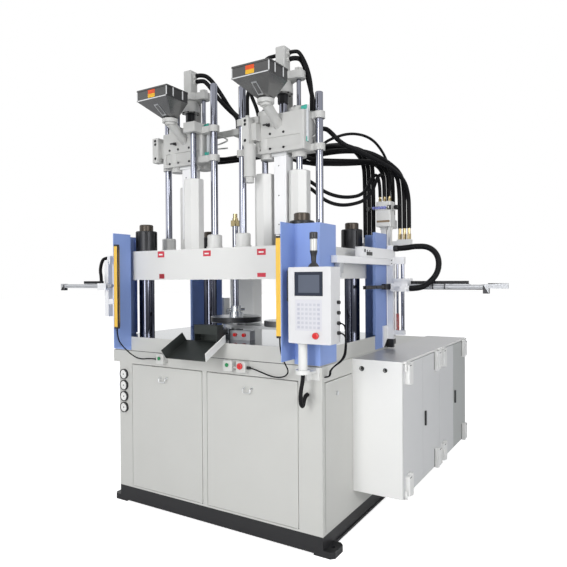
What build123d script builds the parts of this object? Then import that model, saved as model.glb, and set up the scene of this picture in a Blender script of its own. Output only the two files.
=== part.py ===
from build123d import *

import os
from math import atan2, cos, degrees, hypot, pi, radians, tan

# Vertical two-station injection moulding machine with an index arm, modelled in millimetres.
# +Z is up, the operator stands on the -Y side, and X runs along the front. The origin is on
# the floor, in the middle of the four anchor holes.
os.makedirs("parts", exist_ok=True)

# Fits and gaps
running_fit = 0.05       # radial gap of a shaft or rod in its bore
seat_gap = 0.3           # gap between pieces that only touch
panel_gap = 4.0          # shadow gap round a sheet panel or door

# Skid and anchor feet
skid_x = 1600.0
skid_y = 2000.0
skid_bottom = 10.0
skid_top = 110.0
skid_beam = 90.0
skid_lip = 14.0
foot_reach = 65.0        # how far a foot stands out past the skid
foot_width = 125.0
foot_depth = 140.0
foot_height = 38.0
tank_beams = (320.0, 780.0)
anchor_x = 1660.0
anchor_y = 1860.0
anchor_hole = 22.0

# Base cabinet
cabinet_wall = 5.0
cabinet_front_top = 975.0
cabinet_rear_top = 1040.0
panel_thick = 14.0
panel_proud = 3.0
panel_bottom = 122.0
panel_top = 968.0
left_panel = (-678.0, -53.0)
right_panel = (-17.0, 648.0)
side_panel = (-969.0, -606.0)
handle_z = 882.0
handle_width = 54.0
handle_drop = 26.0
handle_rod = 7.0
latch_size = 26.0
louvre_count = 9
louvre_pitch = 55.0
louvre_slot = 12.0
louvre_width = 420.0
louvre_z = 575.0
louvre_x = (-380.0, 380.0)

# Riser and filter box on the rear deck
riser_x = (-625.0, -388.0)
riser_y = (60.0, 195.0)
riser_top = 1700.0
filter_x = (-780.0, -692.0)
filter_y = (60.0, 150.0)
filter_top = 1387.0
link_y = (90.0, 120.0)
link_top = 1290.0

# Power pack in the rear of the cabinet
tank_half_x = 560.0
tank_y = (260.0, 900.0)
tank_top = 560.0
tank_lid = 12.0
tank_corner = 40.0
motor_x = (-330.0, 40.0)
motor_size = 240.0
motor_fin = 262.0
fin_count = 9
fin_pitch = 34.0
bell_end = 120.0
bell_size = 200.0
pump_end = 290.0
pump_size = 150.0

# Pressure gauges on the left front post
gauge_x = -750.0
gauge_top_z = 891.0
gauge_pitch = 77.0
gauge_count = 4
gauge_size = 70.0
gauge_bezel = 6.0
gauge_stand = 16.0

# Bed
mid_x = -28.0            # plane midway between the tie bars
front_y = -skid_y / 2
bed_rear_y = 20.0
bar_half_x = 633.0
bar_to_edge = 182.0
frame_overhang = (15.0, 13.0)
bed_half_x = bar_half_x + bar_to_edge
frame_left_x = mid_x - bed_half_x - frame_overhang[0]
frame_right_x = mid_x + bed_half_x + frame_overhang[1]
bed_seam_z = 1058.0
bed_top_z = 1155.0
bed_groove = 4.0
bed_wall = 40.0

# Tie bars
bar_size = 105.0
bar_front_y = -870.0
bar_rear_y = -160.0
bar_bottom_z = 330.0
bar_thread = 95.0
bar_top_z = 1935.0
nut_size = 149.0
nut_top_z = 1889.0
nut_slots = 6
nut_slot_width = 16.0
nut_slot_deep = 9.0

# Moving platen
platen_bottom = 1547.0
platen_top = 1745.0
platen_corner = 100.0    # corner radius, round the tie bar
platen_band = 6.0
nozzle_hole = 110.0
pole_hole = 120.0
clamp_stroke = 200.0

# Lower crosshead and clamp cylinder
cross_bottom = 360.0
cross_thick = 120.0
cross_waist = 300.0
clamp_rod = 120.0
clamp_bore = 200.0
clamp_tube = 260.0
clamp_tube_bottom = 600.0
clamp_y = (bar_front_y + bar_rear_y) / 2

# Index arm and its pole
pole_y = -670.0
pole_size = 40.0
pole_top = 1992.0
pole_fitting_bottom = 1908.0
pole_fitting = 58.0
housing_size = 150.0
housing_hub = 96.0
housing_flange = 20.0
housing_top = 1212.0
arm_bottom = 1226.0
arm_thick = 20.0
arm_width = 190.0
disc_size = 340.0
disc_bottom = 1260.0
disc_top = 1298.0
nest_size = 264.0
nest_top = 1282.0
nest_bore = 90.0
union_size = 93.0
union_top = 1368.0
station = 387.0          # from the pole to each nozzle line

# Corner guards and light curtains
guard_sheet = 5.0
guard_bottom = 1064.0
guard_top = 1860.0
guard_front = 160.0
guard_side = 200.0
guard_lip = 20.0
wing_reach = 150.0
wing_bottom = 1093.0
curtain_bottom = 1235.0
curtain_top = 1772.0
curtain_width = 31.0
curtain_deep = 28.0
curtain_cap = 12.0

# Front control boxes
box_width = 66.0
box_height = 66.0
box_deep = 44.0
box_z = 1024.0
box_left_x = -378.0
box_green_x = 178.0
box_red_x = 276.0
button_size = 24.0
button_stand = 9.0
mushroom_size = 38.0
mushroom_stand = 20.0
button_travel = 4.0
gland_size = 18.0
gland_long = 22.0

# Part chute
chute_floor = 316.0
chute_flare = 18.0
chute_wall = 56.0
chute_long = 213.0
chute_slope = 26.0
chute_sheet = 3.0
hood_width = 185.0
hood_height = 104.0
hood_deep = 60.0

# Operator panel
hmi_x = (680.0, 936.0)
hmi_y = (-1160.0, -1050.0)
hmi_z = (1203.0, 1611.0)
hmi_edge = 8.0
screen_width = 172.0
screen_height = 128.0
screen_top_gap = 26.0
keypad_width = 160.0
keypad_height = 166.0
keypad_recess = 1.2
post_x = 735.0
post_y = -1100.0
post_size = 50.0
post_bottom = 1042.0
stop_size = 36.0
lamp_size = 42.0
lamp_top = 1798.0

# Electric cabinet
ecab_x = (800.0, 1115.0)
ecab_y = (-590.0, 950.0)
ecab_z = (240.0, 1054.0)
door_thick = 20.0
door_count = 4
hinge_cover = (46.0, 26.0, 118.0)
hinge_cover_inset = 38.0
hinge_cover_gap = 60.0
hinge_line = 21.5        # from the edge of a door's bay to its hinge line
hinge_stand = 8.0
hinge_pin = 8.0
hinge_knuckle = 14.0
knuckle_long = 40.0
gasket_gap = 8.0
pull_z = 630.0
pull_long = 96.0

# Injection units
unit_y = pole_y
guide_size = 48.0
guide_outer = (245.0, 30.0)
guide_inner = (269.0, -75.0)
guide_outer_top = 2715.0
guide_inner_tops = (2874.0, 2812.0)
boss_size = 100.0
boss_top = 1850.0
boss_flange = 112.0
boss_flange_thick = 24.0
block_z = (2350.0, 2590.0)
block_outer = 196.0
block_inner = 166.0
block_half_y = 80.0
lug_thick = 42.0
lug_size = 74.0
shot_cylinder = 130.0
shot_offset = (108.0, 15.0)
shot_z = (2352.0, 2625.0)
shot_rod = 28.0
shot_stroke = 75.0
seat_flats = 128.0
seat_rod = 40.0
seat_stroke = 80.0
seat_top = block_z[0] - seat_stroke - 40.0
seat_ports = (seat_top - 45.0, seat_top - 90.0)
seat_left = ((134.0, -130.0), (-134.0, 130.0))
seat_right = ((-141.0, 0.0), (118.0, 0.0))
barrel_size = 64.0
cover_half = 45.0
cover_z = (1835.0, 2330.0)
cover_wall = 2.5
nozzle_z = 1640.0
head_z = (2815.0, 2862.0)
motor_box = (68.0, 76.0)
motor_long = 168.0
motor_top = head_z[1] + motor_long
motor_ports = (34.0, 76.0)   # below the motor's top
bearing_size = 130.0
bearing_bottom = 2735.0
coupling_size = 66.0
coupling_z = (2672.0, 2731.0)
screw_shaft = 50.0
screw_size = 34.0
hopper_size = (262.0, 202.0)
hopper_centre = (38.0, -325.0)
hopper_z = (2634.0, 2718.0, 2790.0)
hopper_sheet = 3.0
neck_centre = (20.0, -235.0)
neck_size = (74.0, 62.0)
throat_size = 62.0
throat_flange = 104.0
throat_end = (5.0, -72.0, 2525.0)
knob_size = 18.0

bottle_spot = (160.0, -150.0)
bottle_size = 76.0
port_box_left = (-262.0, -60.0)
port_box = (56.0, 60.0, 176.0)
port_box_z = block_z[0] + 136.0
port_box_top = port_box_z + port_box[2] / 2
port_holes = (-58.0, 44.0, 68.0)
bottle_z = (2160.0, 2196.0, 2400.0)
saddle_left = (-110.0, -500.0, 2590.0)
saddle_right = (520.0, -500.0, 2520.0)
saddle_half_left = 38.0
saddle_half_right = 16.0
manifold_case = (110.0, 92.0, 180.0)
manifold_corner = (mid_x + bar_half_x + 95.0, bar_rear_y + 212.0, platen_top + 355.0)
riser_spot = (manifold_corner[0] + 186.0, manifold_corner[1] + 78.0, platen_top + 160.0)
rear_header = (manifold_corner[0] + 22.0, manifold_corner[1] + 116.0, platen_top + 265.0)
left_header = (manifold_corner[0] - 108.0, manifold_corner[1] + 59.0, platen_top + 105.0)
riser_pitch = 34.0
port_pitch = 36.0
header_pitch = 33.0
block_header = {1: (-40.0, 2435.0), 2: (-120.0, 2405.0)}
block_port_pitch = 55.0
block_port_y = 130.0
panel_grommet = (712.0, 899.0)
port_box_right = (-182.0, -140.0)
cord_stub = 1.3          # straight end of a cord, in diameters
hose_small = 18.0
hose_size = 24.0
hose_large = 30.0
cable_size = 8.0
corrugated_size = 40.0
fitting = 34.0

# Take-out arms
take_post = 44.0
take_post_gap = 10.0
take_post_spot = (mid_x + bed_half_x + guard_sheet + take_post_gap + take_post / 2, 24.0)
take_post_z = (1120.0, 1775.0)
take_beam_front = -870.0
take_case_front = -530.0
take_beam_z = (1640.0, 1682.0)
lift_offset = 84.0
lift_rod = 24.0
take_arm_z = (1472.0, 1506.0)
take_arm_x = (860.0, 1480.0)
take_arm_deep = 40.0
take_loop = 130.0
take_hose_front = 100.0   # how far the hose's lower end stands in front of the post
chain_links = 24
chain_pitch = 16.0
left_post_spot = (mid_x - bed_half_x - guard_sheet - 172.0, -900.0)
left_post = 40.0
left_elbow = (30.0, 32.0)
left_post_z = (1280.0, 1694.0)
left_arm_z = (1490.0, 1520.0)
left_arm_x = (-1480.0, -940.0)
left_links = 12
left_chain_gap = 24.0


def block(x0, x1, y0, y1, z0, z1):
    """A box between two opposite corners."""
    centre = ((x0 + x1) / 2, (y0 + y1) / 2, (z0 + z1) / 2)
    return Pos(*centre) * Box(abs(x1 - x0), abs(y1 - y0), abs(z1 - z0))


def post(x, y, z0, z1, size):
    """A round bar along Z, by its diameter."""
    return Pos(x, y, (z0 + z1) / 2) * Cylinder(size / 2, abs(z1 - z0))


def bar_y(x, y0, y1, z, size):
    """A round bar along Y, by its diameter."""
    return Pos(x, (y0 + y1) / 2, z) * Rot(90, 0, 0) * Cylinder(size / 2, abs(y1 - y0))


def bar_x(x0, x1, y, z, size):
    """A round bar along X, by its diameter."""
    return Pos((x0 + x1) / 2, y, z) * Rot(0, 90, 0) * Cylinder(size / 2, abs(x1 - x0))


def tube(x, y, z0, z1, outer, inner):
    """A round pipe along Z."""
    return post(x, y, z0, z1, outer) - post(x, y, z0 - 1, z1 + 1, inner)


def polygon_post(x, y, z0, z1, flats, sides, turn=0.0):
    """A prism along Z, by its size across flats."""
    corner = flats / 2 / cos(pi / sides)
    face = Rot(0, 0, turn) * RegularPolygon(corner, sides)
    return Pos(x, y, z0) * extrude(face, z1 - z0)


def plate(face, z0, z1):
    """A flat outline on the XY plane raised between two heights."""
    return Pos(0, 0, z0) * extrude(face, z1 - z0)


def rounded_box(x0, x1, y0, y1, z0, z1, radius):
    """A box whose upright edges are rounded."""
    face = RectangleRounded(abs(x1 - x0), abs(y1 - y0), radius)
    return Pos((x0 + x1) / 2, (y0 + y1) / 2, z0) * extrude(face, z1 - z0)


def route(points, size, leave, enter):
    """A round cord along straight runs joined by arcs, square to the faces it leaves and enters."""
    stub = cord_stub * size
    first = Vector(*points[0]) + Vector(*leave) * stub
    last = Vector(*points[-1]) - Vector(*enter) * stub
    spots = [Vector(*points[0]), first, *[Vector(*spot) for spot in points[1:-1]], last, Vector(*points[-1])]
    middle = [
        spot for before, spot, after in zip(spots, spots[1:], spots[2:])
        if (spot - before).get_angle(after - spot) > 0.5
    ]
    spots = [spots[0], *middle, spots[-1]]
    radii = []
    for before, corner, after in zip(spots, spots[1:], spots[2:]):
        run_in = corner - before
        run_out = after - corner
        turn = radians(run_in.get_angle(run_out))
        radii.append(0.45 * min(run_in.length, run_out.length) / tan(turn / 2))
    points = [tuple(spot) for spot in spots]
    print("points", [tuple(round(value) for value in spot) for spot in points])
    path = FilletPolyline(*points, radius=radii)
    print(f"cord of {size:.0f}: length {path.length:.0f}, radii", [round(r) for r in radii])
    start = Plane(origin=path @ 0, z_dir=path % 0)
    cord = sweep(start * Circle(size / 2), path)
    expected = pi * size ** 2 / 4 * path.length
    print(f"  volume over section times length {cord.volume / expected:.4f}")
    return cord


PLUS_X, MINUS_X = (1, 0, 0), (-1, 0, 0)
PLUS_Y = (0, 1, 0)
MINUS_Z = (0, 0, -1)
bars_x = (mid_x - bar_half_x, mid_x + bar_half_x)
bars_y = (bar_front_y, bar_rear_y)
bar_spots = [(x, y) for x in bars_x for y in bars_y]
bed_x = (mid_x - bed_half_x, mid_x + bed_half_x)


def make_skid():
    """Welded base frame with a foot under each corner."""
    half_x = skid_x / 2
    half_y = skid_y / 2
    ring = block(-half_x, half_x, -half_y, half_y, skid_bottom, skid_top)
    ring -= block(
        -half_x + skid_beam, half_x - skid_beam, -half_y + skid_beam, half_y - skid_beam,
        skid_bottom - 1, skid_top + 1,
    )
    web = skid_lip
    side_z = (skid_bottom + web, skid_top - web)
    ring -= block(-half_x - 1, -half_x + 8, -half_y + 160, half_y - 160, *side_z)
    ring -= block(half_x - 8, half_x + 1, -half_y + 160, half_y - 160, *side_z)
    ring -= block(-half_x + 160, half_x - 160, half_y - 8, half_y + 1, *side_z)
    ring += block(-half_x + 20, half_x - 20, -skid_beam / 2, skid_beam / 2, skid_bottom, skid_top)
    for y in tank_beams:
        ring += block(-half_x + 20, half_x - 20, y, y + 60, skid_bottom, skid_top)
    for side in (-1, 1):
        for end in (-1, 1):
            outer = side * (half_x + foot_reach)
            inner = outer - side * foot_width
            near = end * half_y
            far = near - end * foot_depth
            foot = block(inner, outer, near, far, 0, foot_height)
            foot = chamfer(foot.edges().filter_by(Axis.Z).sort_by(lambda e: -abs(e.center().X))[:2], 22)
            ring += foot
            ring -= post(side * anchor_x / 2, end * anchor_y / 2, -1, foot_height + 1, anchor_hole)
            ring -= block(
                side * (half_x + 1), side * (half_x + foot_reach + 5), near - end * 500, near + end * 5,
                foot_height, skid_top + 1,
            )
    return ring


def make_cabinet():
    """Sheet housing on the skid: low under the bed, higher behind it."""
    half_x = skid_x / 2
    half_y = skid_y / 2
    wall = cabinet_wall
    shell = block(-half_x, half_x, -half_y, half_y, skid_top, cabinet_rear_top)
    shell -= block(-half_x - 1, half_x + 1, -half_y - 1, bed_rear_y + seat_gap, cabinet_front_top,
                   cabinet_rear_top + 1)
    shell -= block(-half_x + wall, half_x - wall, -half_y + wall, half_y - wall, skid_top - 1,
                   cabinet_rear_top - wall)
    for x0, x1 in (left_panel, right_panel):
        shell -= block(x0, x1, -half_y - 1, -half_y + 2 * wall, panel_bottom, panel_top)
    shell -= block(half_x - 2 * wall, half_x + 1, *side_panel, panel_bottom, panel_top)
    first = -louvre_pitch * (louvre_count - 1) / 2
    for column in louvre_x:
        for row in range(louvre_count):
            slot = SlotOverall(louvre_width, louvre_slot)
            hole = extrude(slot, 3 * wall, both=True)
            z = louvre_z + first + row * louvre_pitch
            shell -= Pos(column, half_y, z) * Rot(90, 0, 0) * hole
    return shell


def make_panels():
    """Lift-off panels with bent pull handles, and the latch of the side panel."""
    solids = []
    y0 = front_y - panel_proud
    for x0, x1 in (left_panel, right_panel):
        face = block(x0 + panel_gap, x1 - panel_gap, y0, y0 + panel_thick,
                     panel_bottom + panel_gap, panel_top - panel_gap)
        face = fillet(face.edges().filter_by(Axis.Z).sort_by(Axis.Y)[:2], 3)
        back = block(x0 - 20, x1 + 20, front_y + cabinet_wall + seat_gap,
                     y0 + panel_thick, panel_bottom + 30, panel_top - 30)
        solids.append(face + back)
        pull_x = box_left_x if x1 < 0 else 305.0
        solids.append(make_pull(pull_x, y0))
    x1 = skid_x / 2 + panel_proud
    side = block(x1 - panel_thick, x1, side_panel[0] + panel_gap, side_panel[1] - panel_gap,
                 panel_bottom + panel_gap, panel_top - panel_gap)
    side += block(x1 - panel_thick, skid_x / 2 - cabinet_wall - seat_gap, side_panel[0] - 20,
                  side_panel[1] + 20, panel_bottom + 30, panel_top - 30)
    solids.append(side)
    solids.append(bar_x(x1, x1 + 9, -821.0, 884.0, latch_size))
    return solids


def make_pull(x, y):
    """A U-shaped wire pull, hung from two round roots."""
    half = handle_width / 2
    stand = 24.0
    bend = 9.0
    path = FilletPolyline(
        (x - half, y, handle_z + handle_drop / 2), (x - half, y - stand, handle_z + handle_drop / 2),
        (x - half, y - stand, handle_z - handle_drop / 2), (x + half, y - stand, handle_z - handle_drop / 2),
        (x + half, y - stand, handle_z + handle_drop / 2), (x + half, y, handle_z + handle_drop / 2),
        radius=bend,
    )
    wire = sweep(Plane(origin=path @ 0, z_dir=path % 0) * Circle(handle_rod / 2), path)
    for side in (-1, 1):
        wire += bar_y(x + side * half, y - 4, y, handle_z + handle_drop / 2, handle_rod + 7)
    return wire


def make_gauges():
    """Four dial gauges one above the other, with a raised bezel and a flat dial."""
    solids = []
    for row in range(gauge_count):
        z = gauge_top_z - row * gauge_pitch
        case = bar_y(gauge_x, front_y - gauge_stand, front_y, z, gauge_size)
        case -= bar_y(gauge_x, front_y - gauge_stand - 1, front_y - gauge_stand + 3, z,
                      gauge_size - 2 * gauge_bezel)
        rim = case.edges().filter_by(GeomType.CIRCLE).sort_by(Axis.Y)[0:2]
        case = fillet(rim, 1.2)
        case += bar_y(gauge_x, front_y - gauge_stand + 2, front_y - gauge_stand + 5, z, 9.0)
        needle = Box(34.0, 1.2, 2.4)
        case += Pos(gauge_x + 8.0, front_y - gauge_stand + 3.4, z) * needle
        solids.append(case)
    return solids


def make_bed():
    """Bed block over the front cabinet: a frame below, the machined bed above, and the bar bores."""
    lower = block(frame_left_x, frame_right_x, front_y, bed_rear_y, cabinet_front_top, bed_seam_z)
    lower -= block(frame_left_x + bed_wall, frame_right_x - bed_wall, front_y + bed_wall,
                   bed_rear_y - bed_wall, cabinet_front_top - 1, bed_seam_z - 12)
    upper = block(*bed_x, front_y, bed_rear_y, bed_seam_z, bed_top_z)
    solid = lower + upper
    groove = block(frame_left_x - 1, frame_right_x + 1, front_y - 1, front_y + bed_groove,
                   bed_seam_z - bed_groove / 2, bed_seam_z + bed_groove / 2)
    solid -= groove
    for x, y in bar_spots:
        solid += post(x, y, cabinet_front_top, bed_seam_z, bar_size + 80)
    solid += post(mid_x, clamp_y, cabinet_front_top, bed_seam_z, clamp_tube + 60)
    for x, y in bar_spots:
        solid -= post(x, y, cabinet_front_top - 1, bed_top_z + 1, bar_size + 2 * running_fit)
    return solid


def make_clamp_cylinder():
    """Clamp cylinder under the bed, closed above, with a gland below."""
    flange = post(mid_x, clamp_y, cabinet_front_top - 40, cabinet_front_top, clamp_tube + 90)
    body = flange + post(mid_x, clamp_y, clamp_tube_bottom, cabinet_front_top - 40, clamp_tube)
    body += post(mid_x, clamp_y, clamp_tube_bottom, clamp_tube_bottom + 45, clamp_tube + 40)
    body -= post(mid_x, clamp_y, clamp_tube_bottom + 60, cabinet_front_top - 60, clamp_bore)
    body -= post(mid_x, clamp_y, clamp_tube_bottom - 1, clamp_tube_bottom + 61,
                 clamp_rod + 2 * running_fit)
    return body


def make_tie_bars():
    """Four round bars, threaded at both ends."""
    solids = []
    for x, y in bar_spots:
        bar = post(x, y, bar_bottom_z, platen_top - 4, bar_size)
        bar += post(x, y, platen_top - 4, bar_top_z, bar_thread)
        top = bar.edges().filter_by(GeomType.CIRCLE).sort_by(Axis.Z)[-1]
        bar = chamfer(top, 5)
        solids.append(bar)
    return solids


def make_ring_nuts():
    """Slotted ring nuts over the platen and plain ones under the lower crosshead."""
    solids = []
    for x, y in bar_spots:
        nut = tube(x, y, platen_top, nut_top_z, nut_size, bar_thread)
        nut = chamfer(nut.edges().filter_by(GeomType.CIRCLE).sort_by(Axis.Z)[-2:], 5)
        for turn in range(nut_slots):
            slot = Box(2 * nut_slot_deep, nut_slot_width, nut_top_z - platen_top - 40)
            place = Rot(0, 0, 360 / nut_slots * turn + 15) * Pos(nut_size / 2, 0, 0)
            nut -= Pos(x, y, (nut_top_z + platen_top) / 2 + 10) * place * slot
        solids.append(nut)
        solids.append(tube(x, y, bar_bottom_z + 4, cross_bottom, nut_size, bar_size))
    return solids


def make_platen():
    """Moving platen with rounded ends, nozzle holes, the pole hole and the bar bores."""
    half_x = bar_half_x + platen_corner
    y0 = bar_front_y - platen_corner
    y1 = bar_rear_y + platen_corner
    face = RectangleRounded(2 * half_x, y1 - y0, platen_corner)
    solid = Pos(mid_x, (y0 + y1) / 2, platen_bottom) * extrude(face, platen_top - platen_bottom)
    inner_x = bar_half_x - 10
    band = block(mid_x - inner_x, mid_x + inner_x, y0 - platen_band, y0 + 1, platen_bottom, platen_top)
    solid += chamfer(band.edges().filter_by(Axis.Z).sort_by(Axis.Y)[:2], 5)
    for side in (-1, 1):
        solid -= post(mid_x + side * station, unit_y, platen_bottom - 1, platen_top + 1, nozzle_hole)
    solid -= post(mid_x, pole_y, platen_bottom - 1, platen_top + 1, pole_hole)
    for x, y in bar_spots:
        solid -= post(x, y, platen_bottom - 1, platen_top - 4, bar_size)
        solid -= post(x, y, platen_top - 5, platen_top + 1, bar_thread)
    for side in (-1, 1):
        for dx in (-110.0, 110.0):
            for dy in (-110.0, 110.0):
                spot = (mid_x + side * station + dx, unit_y + dy)
                solid -= post(*spot, platen_bottom - 1, platen_bottom + 36, 14.0)
    return solid


def make_crosshead():
    """Lower crosshead, waisted between the bars, with the clamp piston and rod on top."""
    half_x = bar_half_x + 90
    half_y = (bar_rear_y - bar_front_y) / 2 + 90
    face = RectangleRounded(2 * half_x, 2 * half_y, 80)
    waist = 2 * half_y - cross_waist
    for side in (-1, 1):
        face -= Pos(0, side * half_y) * RectangleRounded(2 * half_x - 420, waist - 60, 60)
    solid = Pos(mid_x, clamp_y, cross_bottom) * extrude(face, cross_thick)
    for x, y in bar_spots:
        solid -= post(x, y, cross_bottom - 1, cross_bottom + cross_thick + 1, bar_size)
    rod_top = clamp_tube_bottom + 60 + clamp_stroke + 52
    solid += post(mid_x, clamp_y, cross_bottom + cross_thick, rod_top, clamp_rod)
    solid += post(mid_x, clamp_y, rod_top - 50, rod_top, clamp_bore - 2 * running_fit)
    return solid


def make_guard(side, front):
    """One bent corner guard: a face along X, a face along Y with a folded lip."""
    x_face = mid_x + side * bed_half_x
    outer = x_face + side * guard_sheet
    if front:
        y_face = front_y
        y_out = front_y - guard_sheet
        far = front_y + guard_side
    else:
        y_face = bed_rear_y
        y_out = bed_rear_y + guard_sheet
        far = bed_rear_y - guard_side - 10
    inner = x_face - side * guard_front
    solid = block(inner, outer, y_out, y_face, guard_bottom, guard_top)
    solid += block(x_face, outer, y_out, far, guard_bottom, guard_top)
    lip_bottom = bed_top_z + 6
    fold = guard_sheet if far < y_face else -guard_sheet
    solid += block(x_face, outer - side * guard_lip, far, far + fold, lip_bottom, guard_top)
    corner = solid.edges().filter_by(Axis.Z).sort_by_distance((outer, y_out, guard_top))[0]
    solid = fillet(corner, 4)
    if front:
        reach = front_y - wing_reach
        solid += block(inner, inner + side * guard_sheet, reach, y_out, wing_bottom, guard_top)
    return solid


def make_light_curtains():
    """Two upright light curtains, each on the wing of its front guard."""
    solids = []
    for side in (-1, 1):
        wing = mid_x + side * (bed_half_x - guard_front)
        y0 = front_y - wing_reach - 2
        y1 = y0 + curtain_deep
        x1 = wing - side * curtain_width
        case = block(wing, x1, y0, y1, curtain_bottom, curtain_top)
        case = fillet(case.edges().filter_by(Axis.Z), 4)
        window = block(x1 - side, x1 + side * 2, y0 + 7, y1 - 7, curtain_bottom + 25, curtain_top - 25)
        solids.append(case - window)
        for z0 in (curtain_bottom - curtain_cap, curtain_top):
            cap = block(wing, x1, y0, y1, z0, z0 + curtain_cap)
            solids.append(chamfer(cap.edges().filter_by(Axis.Z), 5))
    return solids


def make_button_boxes():
    """Three small control boxes on the front of the bed frame, with their cable glands."""
    solids = []
    for x in (box_left_x, box_green_x, box_red_x):
        case = block(x - box_width / 2, x + box_width / 2, front_y - box_deep, front_y,
                     box_z - box_height / 2, box_z + box_height / 2)
        case = fillet(case.edges().filter_by(Axis.Y), 8)
        case = fillet(case.faces().sort_by(Axis.Y)[0].edges(), 4)
        case -= bar_y(x, front_y - box_deep - 1, front_y - box_deep + 12, box_z + 6, button_size - 6)
        solids.append(case)
    for x, side in ((box_left_x, -1), (box_red_x, 1)):
        root = x + side * box_width / 2
        end = root + side * gland_long
        solids.append(bar_x(root, end, front_y - box_deep / 2, box_z - 4, gland_size))
    link_x0 = box_green_x + box_width / 2
    link_x1 = box_red_x - box_width / 2
    solids.append(bar_x(link_x0, link_x1, front_y - box_deep / 2, box_z - 8, 14.0))
    return solids


def make_push_button(x):
    """A flat push button with its stem in the box."""
    y = front_y - box_deep
    head = bar_y(x, y - button_stand, y - button_travel - 1, box_z + 6, button_size)
    head = fillet(head.edges().filter_by(GeomType.CIRCLE).sort_by(Axis.Y)[0], 2)
    return head + bar_y(x, y - button_travel - 1, y + 6, box_z + 6, button_size - 6 - 2 * seat_gap)


def make_mushroom(x, z, y, travel, size):
    """A mushroom stop button on a stem."""
    y_back = y - travel - 1
    y_front = y_back - mushroom_stand + 8
    head = bar_y(x, y_front, y_back, z, size)
    head = fillet(head.edges().filter_by(GeomType.CIRCLE).sort_by(Axis.Y)[0], 6)
    return head + bar_y(x, y_back, y + 6, z, button_size - 6 - 2 * seat_gap)


def make_chute():
    """Folded sheet chute from the bed down to the front, with a hood at its upper end."""
    half = chute_floor / 2
    wall = Polyline(
        (-half - chute_flare, chute_wall), (-half, 0), (half, 0), (half + chute_flare, chute_wall),
        (half + chute_flare - 4, chute_wall + 2), (half - 1.5, chute_sheet), (-half + 1.5, chute_sheet),
        (-half - chute_flare + 4, chute_wall + 2), (-half - chute_flare, chute_wall),
    )
    section = Plane.XZ * make_face(wall)
    tray = extrude(section, chute_long)
    tray = Pos(mid_x, front_y + 6, bed_top_z + 1.5) * Rot(chute_slope, 0, 0) * tray
    tray -= block(*bed_x, front_y, bed_rear_y, bed_seam_z, bed_top_z)
    tray -= block(frame_left_x, frame_right_x, front_y, bed_rear_y, cabinet_front_top, bed_seam_z)
    hood = block(mid_x - hood_width / 2, mid_x + hood_width / 2, front_y + 6, front_y + 6 + hood_deep,
                 bed_top_z, bed_top_z + hood_height)
    hood -= block(mid_x - hood_width / 2 + 4, mid_x + hood_width / 2 - 4, front_y + 5,
                  front_y + hood_deep + 2, bed_top_z + 4, bed_top_z + hood_height - 4)
    front = block(mid_x - hood_width / 2, mid_x + hood_width / 2, front_y + 4, front_y + 8,
                  bed_top_z + 46, bed_top_z + hood_height)
    return [tray, hood + front]


def make_index_housing():
    """Bearing housing of the pole, the valve blocks beside it and two capped sensors."""
    solid = post(mid_x, pole_y, bed_top_z, bed_top_z + housing_flange, housing_size)
    solid += post(mid_x, pole_y, bed_top_z + housing_flange, housing_top, housing_hub)
    solid -= post(mid_x, pole_y, bed_top_z + 6, housing_top + 1, pole_size + 2 * running_fit)
    for turn in range(6):
        bolt = polygon_post(0, 0, 0, 8, 13, 6)
        place = Rot(0, 0, 60 * turn + 30) * Pos(housing_size / 2 - 12, 0, 0)
        solid += Pos(mid_x, pole_y, bed_top_z + housing_flange) * place * bolt
    front = block(mid_x + 62, mid_x + 218, pole_y - 150, pole_y - 92, bed_top_z, bed_top_z + 60)
    front = chamfer(front.edges().filter_by(Axis.X).sort_by(Axis.Z)[-2:], 5)
    side = block(mid_x - 145, mid_x - 88, pole_y - 95, pole_y + 20, bed_top_z, bed_top_z + 46)
    solids = [solid, front, side]
    for dx in (108.0, 178.0):
        solids.append(bar_y(mid_x + dx, pole_y - 168, pole_y - 150, bed_top_z + 34, 24.0))
    for dy in (-70.0, -35.0, 0.0):
        stub = post(mid_x - 116, pole_y + dy, bed_top_z + 46, bed_top_z + 62, 20.0)
        solids.append(stub)
    return solids


def make_index_shaft():
    """The pole, the rotary union over the disc and the fitting on its top."""
    solid = post(mid_x, pole_y, bed_top_z + 8, pole_top - 30, pole_size)
    solid += post(mid_x, pole_y, disc_top, disc_top + 26, union_size)
    solid += post(mid_x, pole_y, disc_top + 26, union_top, union_size - 18)
    for turn in range(4):
        port = Rot(0, 0, 90 * turn + 45) * Pos(union_size / 2, 0, 0) * Rot(0, 90, 0) * Cylinder(9, 26)
        solid += Pos(mid_x, pole_y, disc_top + 44) * port
    solid += polygon_post(mid_x, pole_y, pole_fitting_bottom, pole_fitting_bottom + 38, pole_fitting, 6)
    solid += post(mid_x, pole_y, pole_fitting_bottom + 38, pole_top, 30.0)
    return solid


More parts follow.
